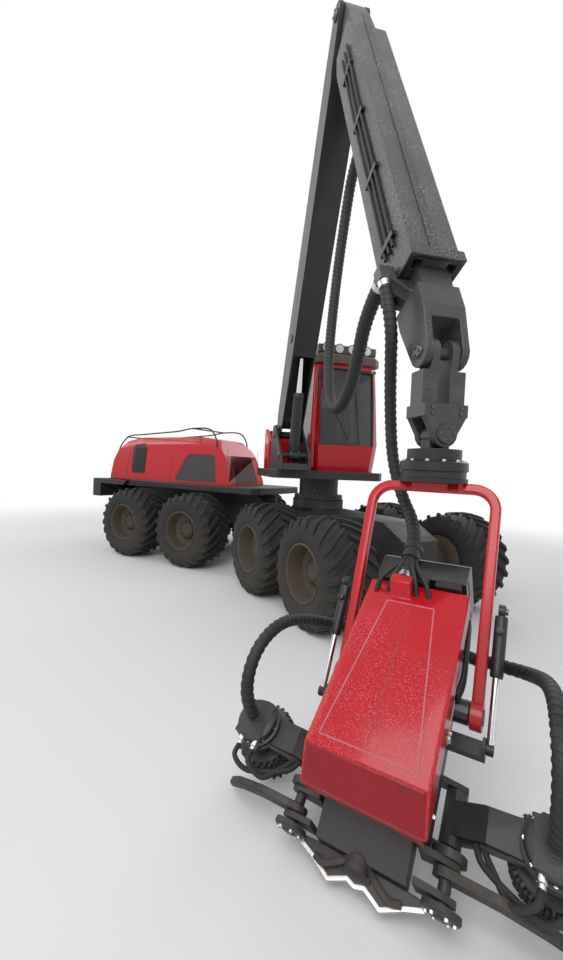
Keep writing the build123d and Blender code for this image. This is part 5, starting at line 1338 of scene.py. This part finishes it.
    def rotator(self):
        """The band on the rotator's housing, and the flange below it as a turned piece with its bolt ring."""
        dark = finish("crane_paint")
        rounded_copy("rotator", dark, 0.004)
        band = [
            (-0.69, 0.15), (-0.689, 0.168), (-0.67, 0.168), (-0.665, 0.155), (-0.64, 0.155), (-0.635, 0.166),
            (-0.617, 0.16), (-0.6155, 0.1),
        ]
        where = TIP @ shift(0, 0, -0.0005)
        piece("rotator_band", *revolved(band, 64, "z"), "rotator_body", dark, place=where)
        flange = [
            (0.032, 0.2), (0.034, 0.21), (0.06, 0.212), (0.064, 0.2), (0.104, 0.2), (0.108, 0.212),
            (0.16, 0.21), (0.167, 0.2), (0.167, 0.1),
        ]
        skin = piece("flange_turned", *revolved(flange, 64, "z"), "hoop_body", dark, place=HOOP)
        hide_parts("rotator_flange")
        ring = prisms(bolt_ring(12, 0.186, "z", (0, 0, 0.166)), (0, 0, 1), 0.013, 0.012)
        piece("flange_bolts", *ring, "hoop_body", finish("bright_steel"), False, HOOP)

    def roller(self, side_name, side):
        """A feed roller: a drum with 9 rings of 26 pointed studs, 22.5 mm apart. The bearing of a stud is its
        number times a 26th of a turn, and half a step more on every other ring."""
        place = HEAD @ shift(ROLLER_X, side * ROLLER_Y, 0)
        drum = [(-0.305, 0.1), (-0.303, 0.15), (-0.298, 0.158), (-0.1, 0.158), (-0.096, 0.15), (-0.0955, 0.1)]
        rings, count = 9, 26
        ring = np.repeat(np.arange(rings), count)
        angle = (np.tile(np.arange(count), rings) + 0.5 * (ring % 2)) * 2 * pi / count
        outward = np.column_stack([np.cos(angle), np.sin(angle), np.zeros(len(angle))])
        centres = outward * 0.152
        centres[:, 2] = -0.288 + 0.0225 * ring
        parts = joined([revolved(drum, 48, "z"), prisms(centres, outward, 0.011, 0.022, 5)])
        body = "roller_%s_body" % side_name
        skin = piece("feed_roller_%s_drum" % side_name, *parts, body, finish("worn_steel"), False, place)
        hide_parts("feed_roller_" + side_name)

    def cover_fittings(self):
        """The cover's crease edges as thin lighter red tubes, a painted highlight, and its seam, red front
        and lip, the inlet's hoses and collar, the saw box's bars, and the brackets on the head's sides."""
        dark_red = finish("dark_red")
        top = 0.374
        # Thin lighter red tubes along the cover's crease edges: a painted highlight where the edges catch the
        # light
        crease_highlights = [
            tube(np.linspace((-0.325, side * 0.131, top), (0.486, side * 0.2275, top), 30), 0.0045, 8)
            for _, side in SIDES
        ]
        crease_highlights.append(tube(np.linspace((0.487, -0.2275, 0.3738), (0.487, 0.2275, 0.3738), 24), 0.0045, 8))
        crease_highlights.append(tube(np.linspace((-0.327, -0.13, 0.3745), (-0.327, 0.13, 0.3745), 12), 0.004, 8))
        piece("cover_crease_highlights", *joined(crease_highlights), "head_body", finish("crease_highlight_red"), place=HEAD)
        # The red front: straight from its low edge to its high one, and 7 mm narrower a side at the top
        low, high = np.array([0.661, 0.2365]), np.array([0.54, 0.3604])
        across, up = np.meshgrid(np.linspace(-1, 1, 33), np.linspace(0, 1, 13))
        slope = low + (high - low) * up[..., None]
        front = np.stack([slope[..., 0], across * (0.281 - 0.007 * up), slope[..., 1]], -1)
        apron = piece("cover_apron", front, [grid(13, 33)], "head_body", finish("stained_red"), place=HEAD)
        apron.modifiers.new("sheet", "SOLIDIFY").thickness = 0.002
        seam = tube(np.linspace((-0.31, 0.0, 0.3735), (0.47, 0.0, 0.3735), 40), 0.0035, 8)
        piece("cover_seam", *seam, "head_body", dark_red, place=HEAD)
        # The lip's lower edge: two waves of 12 mm across it, and 20 mm lower at its ends by the fourth power
        half = 0.272
        y = np.linspace(-half, half, 61)
        low = 0.172 - 0.012 * np.cos(2 * pi * y / half) - 0.02 * (np.abs(y) / half) ** 4
        outline = np.concatenate([np.column_stack([y, low]), [(half, 0.222), (-half, 0.222)]])
        lip = piece("cover_lip", *plate(outline, 0.656, 0.668, "yzx"), "head_body", dark_red, False, HEAD)
        bevelled(lip, 0.002)
        self.inlet()
        starts = np.array([(-0.53, y, 0.343) for y in (-0.25, -0.08, 0.1)])
        box_bars = bars(starts, starts + (0, 0.14, 0), 0.05, 0.03)
        piece("saw_box_bars", *box_bars, "head_body", finish("black_plastic"), False, HEAD)
        for side_name, side in SIDES:
            self.bracket(side_name, side)

    def inlet(self):
        """The fan of five hoses on the cover, and the collar round the bundle where it comes in."""
        middle = -0.07
        fan = []
        for k, across in enumerate((-0.16, -0.085, 0.0, 0.085, 0.16)):
            odd = k % 2
            route = [
                (-0.66, middle + 0.16 * across, 0.41 + 0.02 * odd),
                (-0.57, middle + 0.35 * across, 0.425 + 0.015 * odd),
                (-0.47, middle + 0.8 * across, 0.405),
                (-0.4, middle + across, 0.345),
            ]
            fan.append(tube(smooth_line(route, 30), 0.0145, 10, (0, 1, 0.2)))
        piece("inlet_hoses", *joined(fan), "head_body", finish("hose_rubber"), place=HEAD)
        collar = [
            (-0.74, 0.05), (-0.738, 0.058), (-0.7, 0.058), (-0.698, 0.052), (-0.66, 0.052), (-0.658, 0.056),
            (-0.63, 0.056), (-0.628, 0.03),
        ]
        sleeve = revolved(collar, 40, "x", (0, middle, 0.408))
        piece("inlet_collar", *sleeve, "head_body", finish("black_plastic"), place=HEAD)

    def bracket(self, side_name, side):
        """A white plate on the head's side with an orange tip and three bolts."""
        outlines = {
            "white": ([(0.02, 0.1), (0.16, 0.1), (0.16, 0.17), (0.02, 0.17)], 0.282),
            "orange": ([(0.16, 0.09), (0.24, 0.11), (0.24, 0.16), (0.16, 0.18)], 0.285),
        }
        for colour, (outline, face) in outlines.items():
            name = "bracket_%s_%s" % (side_name, colour)
            part = plate(outline, side * HEAD_PLATE_Y, side * face, "xzy")
            bevelled(piece(name, *part, "head_body", finish(colour + "_paint"), False, HEAD), 0.004)
        spots = [(x, side * face, z) for x, z in ((0.19, 0.135), (0.22, 0.12), (0.22, 0.15))]
        bolts = prisms(spots, (0, side, 0), 0.012, 0.012)
        piece("bracket_%s_bolts" % side_name, *bolts, "head_body", finish("bright_steel"), False, HEAD)


def seen_only(write):
    """1 where the camera, a reflection or glass looks, and 0 for the light that falls on the machine."""
    path = write.add("ShaderNodeLightPath").outputs
    seen = write.maths("MAXIMUM", path["Is Camera Ray"], path["Is Transmission Ray"])
    return write.maths("MAXIMUM", seen, path["Is Glossy Ray"])


# Name, place, size and power of each area light, all turned to the machine's middle
LIGHTS = (
    ("key_light", (9.0, -9.0, 11.0), 9.0, 1000.0),
    ("fill_light", (-8.0, -8.0, 9.0), 9.0, 380.0),
    ("back_light", (-4.0, 10.0, 10.0), 8.0, 350.0),
)
MACHINE_MIDDLE = np.array([0.5, 0, 2.0])


class HARVESTER_OT_stage(bpy.types.Operator):
    """Sets the floor, the light and the camera"""

    bl_idname = "harvester.stage"
    bl_label = "Stage"

    def execute(self, context):
        scene = context.scene
        scene.view_settings.view_transform = "Standard"
        self.camera(scene)
        self.floor(scene)
        self.world(scene)
        for name, place, size, power in LIGHTS:
            light = bpy.data.lights.new(name, "AREA")
            light.size = size
            light.energy = power
            lamp = bpy.data.objects.new(name, light)
            lamp.location = place
            x, y, z = MACHINE_MIDDLE - place
            lamp.rotation_euler = (atan2(hypot(x, y), -z), 0, atan2(y, x) - pi / 2)
            scene.collection.objects.link(lamp)
        return {"FINISHED"}

    def camera(self, scene):
        """The photograph's view: place, heading, tilt and roll as measured, 15.75 mm on a 36 mm long side."""
        yaw, pitch, roll = radians(151.0495), radians(1.808), radians(2.455)
        ahead = np.array([cos(yaw) * cos(pitch), sin(yaw) * cos(pitch), -sin(pitch)])
        right = np.array([sin(yaw), -cos(yaw), 0])
        up = np.cross(right, ahead)
        data = bpy.data.cameras.new("view")
        data.lens = 15.75
        data.sensor_width = 36.0
        data.clip_end = 200.0
        camera = bpy.data.objects.new("view", data)
        matrix = np.eye(4)
        matrix[:3, 0] = right * cos(roll) + up * sin(roll)
        matrix[:3, 1] = up * cos(roll) - right * sin(roll)
        matrix[:3, 2] = -ahead
        matrix[:3, 3] = (5.99925, -3.2053, 1.91025)
        camera.matrix_world = Matrix(matrix.tolist())
        scene.collection.objects.link(camera)
        scene.camera = camera

    def floor(self, scene):
        """A wide pale disc that fades into the white background away from the machine."""
        radii = np.array([0.01, 3, 6, 9, 12, 16, 24, 60.0])
        points = carried_round(np.zeros(len(radii)), radii, 96, "z", (0, 0, 0))
        mesh = bpy.data.meshes.new("floor")
        mesh.from_pydata(points.tolist(), [], grid(len(radii), 96, wrap_columns=True).tolist())
        material, write, shader = new_material("floor", Roughness=0.9, Base_Color=(0.87, 0.87, 0.87, 1))
        reach = write.add("ShaderNodeVectorMath", {"operation": "LENGTH"}, Vector=write.place())
        fade = write.spread(reach.outputs["Value"], 7.0, 14.0, interpolation_type="SMOOTHSTEP")
        glow = write.add("ShaderNodeEmission", Color=(1, 1, 1, 1), Strength=1.0).outputs[0]
        share = write.maths("MULTIPLY", fade, seen_only(write))
        mix = write.add("ShaderNodeMixShader", i0=share, i1=shader.outputs[0], i2=glow)
        end = next(node for node in material.node_tree.nodes if node.type == "OUTPUT_MATERIAL")
        write.fill(end, Surface=mix.outputs[0])
        mesh.materials.append(material)
        floor = bpy.data.objects.new("floor", mesh)
        scene.collection.objects.link(floor)

    def world(self, scene):
        """A soft even sky for light, white where the camera, a reflection or glass sees it."""
        world = bpy.data.worlds.new("studio")
        world.use_nodes = True
        world.node_tree.nodes.clear()
        write = Nodes(world.node_tree)
        soft = write.add("ShaderNodeBackground", Color=(0.93, 0.96, 1.0, 1), Strength=0.45)
        white = write.add("ShaderNodeBackground", Color=(1, 1, 1, 1), Strength=1.0)
        mix = write.add("ShaderNodeMixShader", i0=seen_only(write), i1=soft.outputs[0], i2=white.outputs[0])
        write.add("ShaderNodeOutputWorld", Surface=mix.outputs[0])
        scene.world = world


class HARVESTER_PT_panel(bpy.types.Panel):
    """Lists the harvester's pieces in the sidebar"""

    bl_idname = "HARVESTER_PT_panel"
    bl_label = "Harvester"
    bl_space_type = "VIEW_3D"
    bl_region_type = "UI"
    bl_category = "Harvester"

    def draw(self, context):
        layout, scene = self.layout, context.scene
        for group in (scene.harvester_wheels, scene.harvester_paint, scene.harvester_roundings):
            for key in group.bl_rna.properties.keys():
                if key not in ("rna_type", "name"):
                    layout.prop(group, key)
        for operator in OPERATORS:
            layout.operator(operator.bl_idname)


OPERATORS = (
    HARVESTER_OT_stage,
    HARVESTER_OT_hoses,
    HARVESTER_OT_wheels,
    HARVESTER_OT_chassis,
    HARVESTER_OT_hood,
    HARVESTER_OT_cab,
    HARVESTER_OT_crane,
    HARVESTER_OT_head,
)
CLASSES = (HarvesterWheelSizes, HarvesterPaint, HarvesterRoundings, *OPERATORS, HARVESTER_PT_panel)


def register():
    """Registers the classes and their settings on the scene."""
    for each in CLASSES:
        bpy.utils.register_class(each)
    bpy.types.Scene.harvester_wheels = bpy.props.PointerProperty(type=HarvesterWheelSizes)
    bpy.types.Scene.harvester_paint = bpy.props.PointerProperty(type=HarvesterPaint)
    bpy.types.Scene.harvester_roundings = bpy.props.PointerProperty(type=HarvesterRoundings)


def unregister():
    """Takes the settings and the classes away again."""
    del bpy.types.Scene.harvester_roundings
    del bpy.types.Scene.harvester_paint
    del bpy.types.Scene.harvester_wheels
    for each in reversed(CLASSES):
        bpy.utils.unregister_class(each)


def main():
    """Builds every piece in order."""
    register()
    bpy.ops.harvester.stage()
    bpy.ops.harvester.hoses()
    bpy.ops.harvester.wheels()
    bpy.ops.harvester.chassis()
    bpy.ops.harvester.hood()
    bpy.ops.harvester.cab()
    bpy.ops.harvester.crane()
    bpy.ops.harvester.head()
    bpy.context.view_layer.update()


if __name__ == "__main__":
    main()
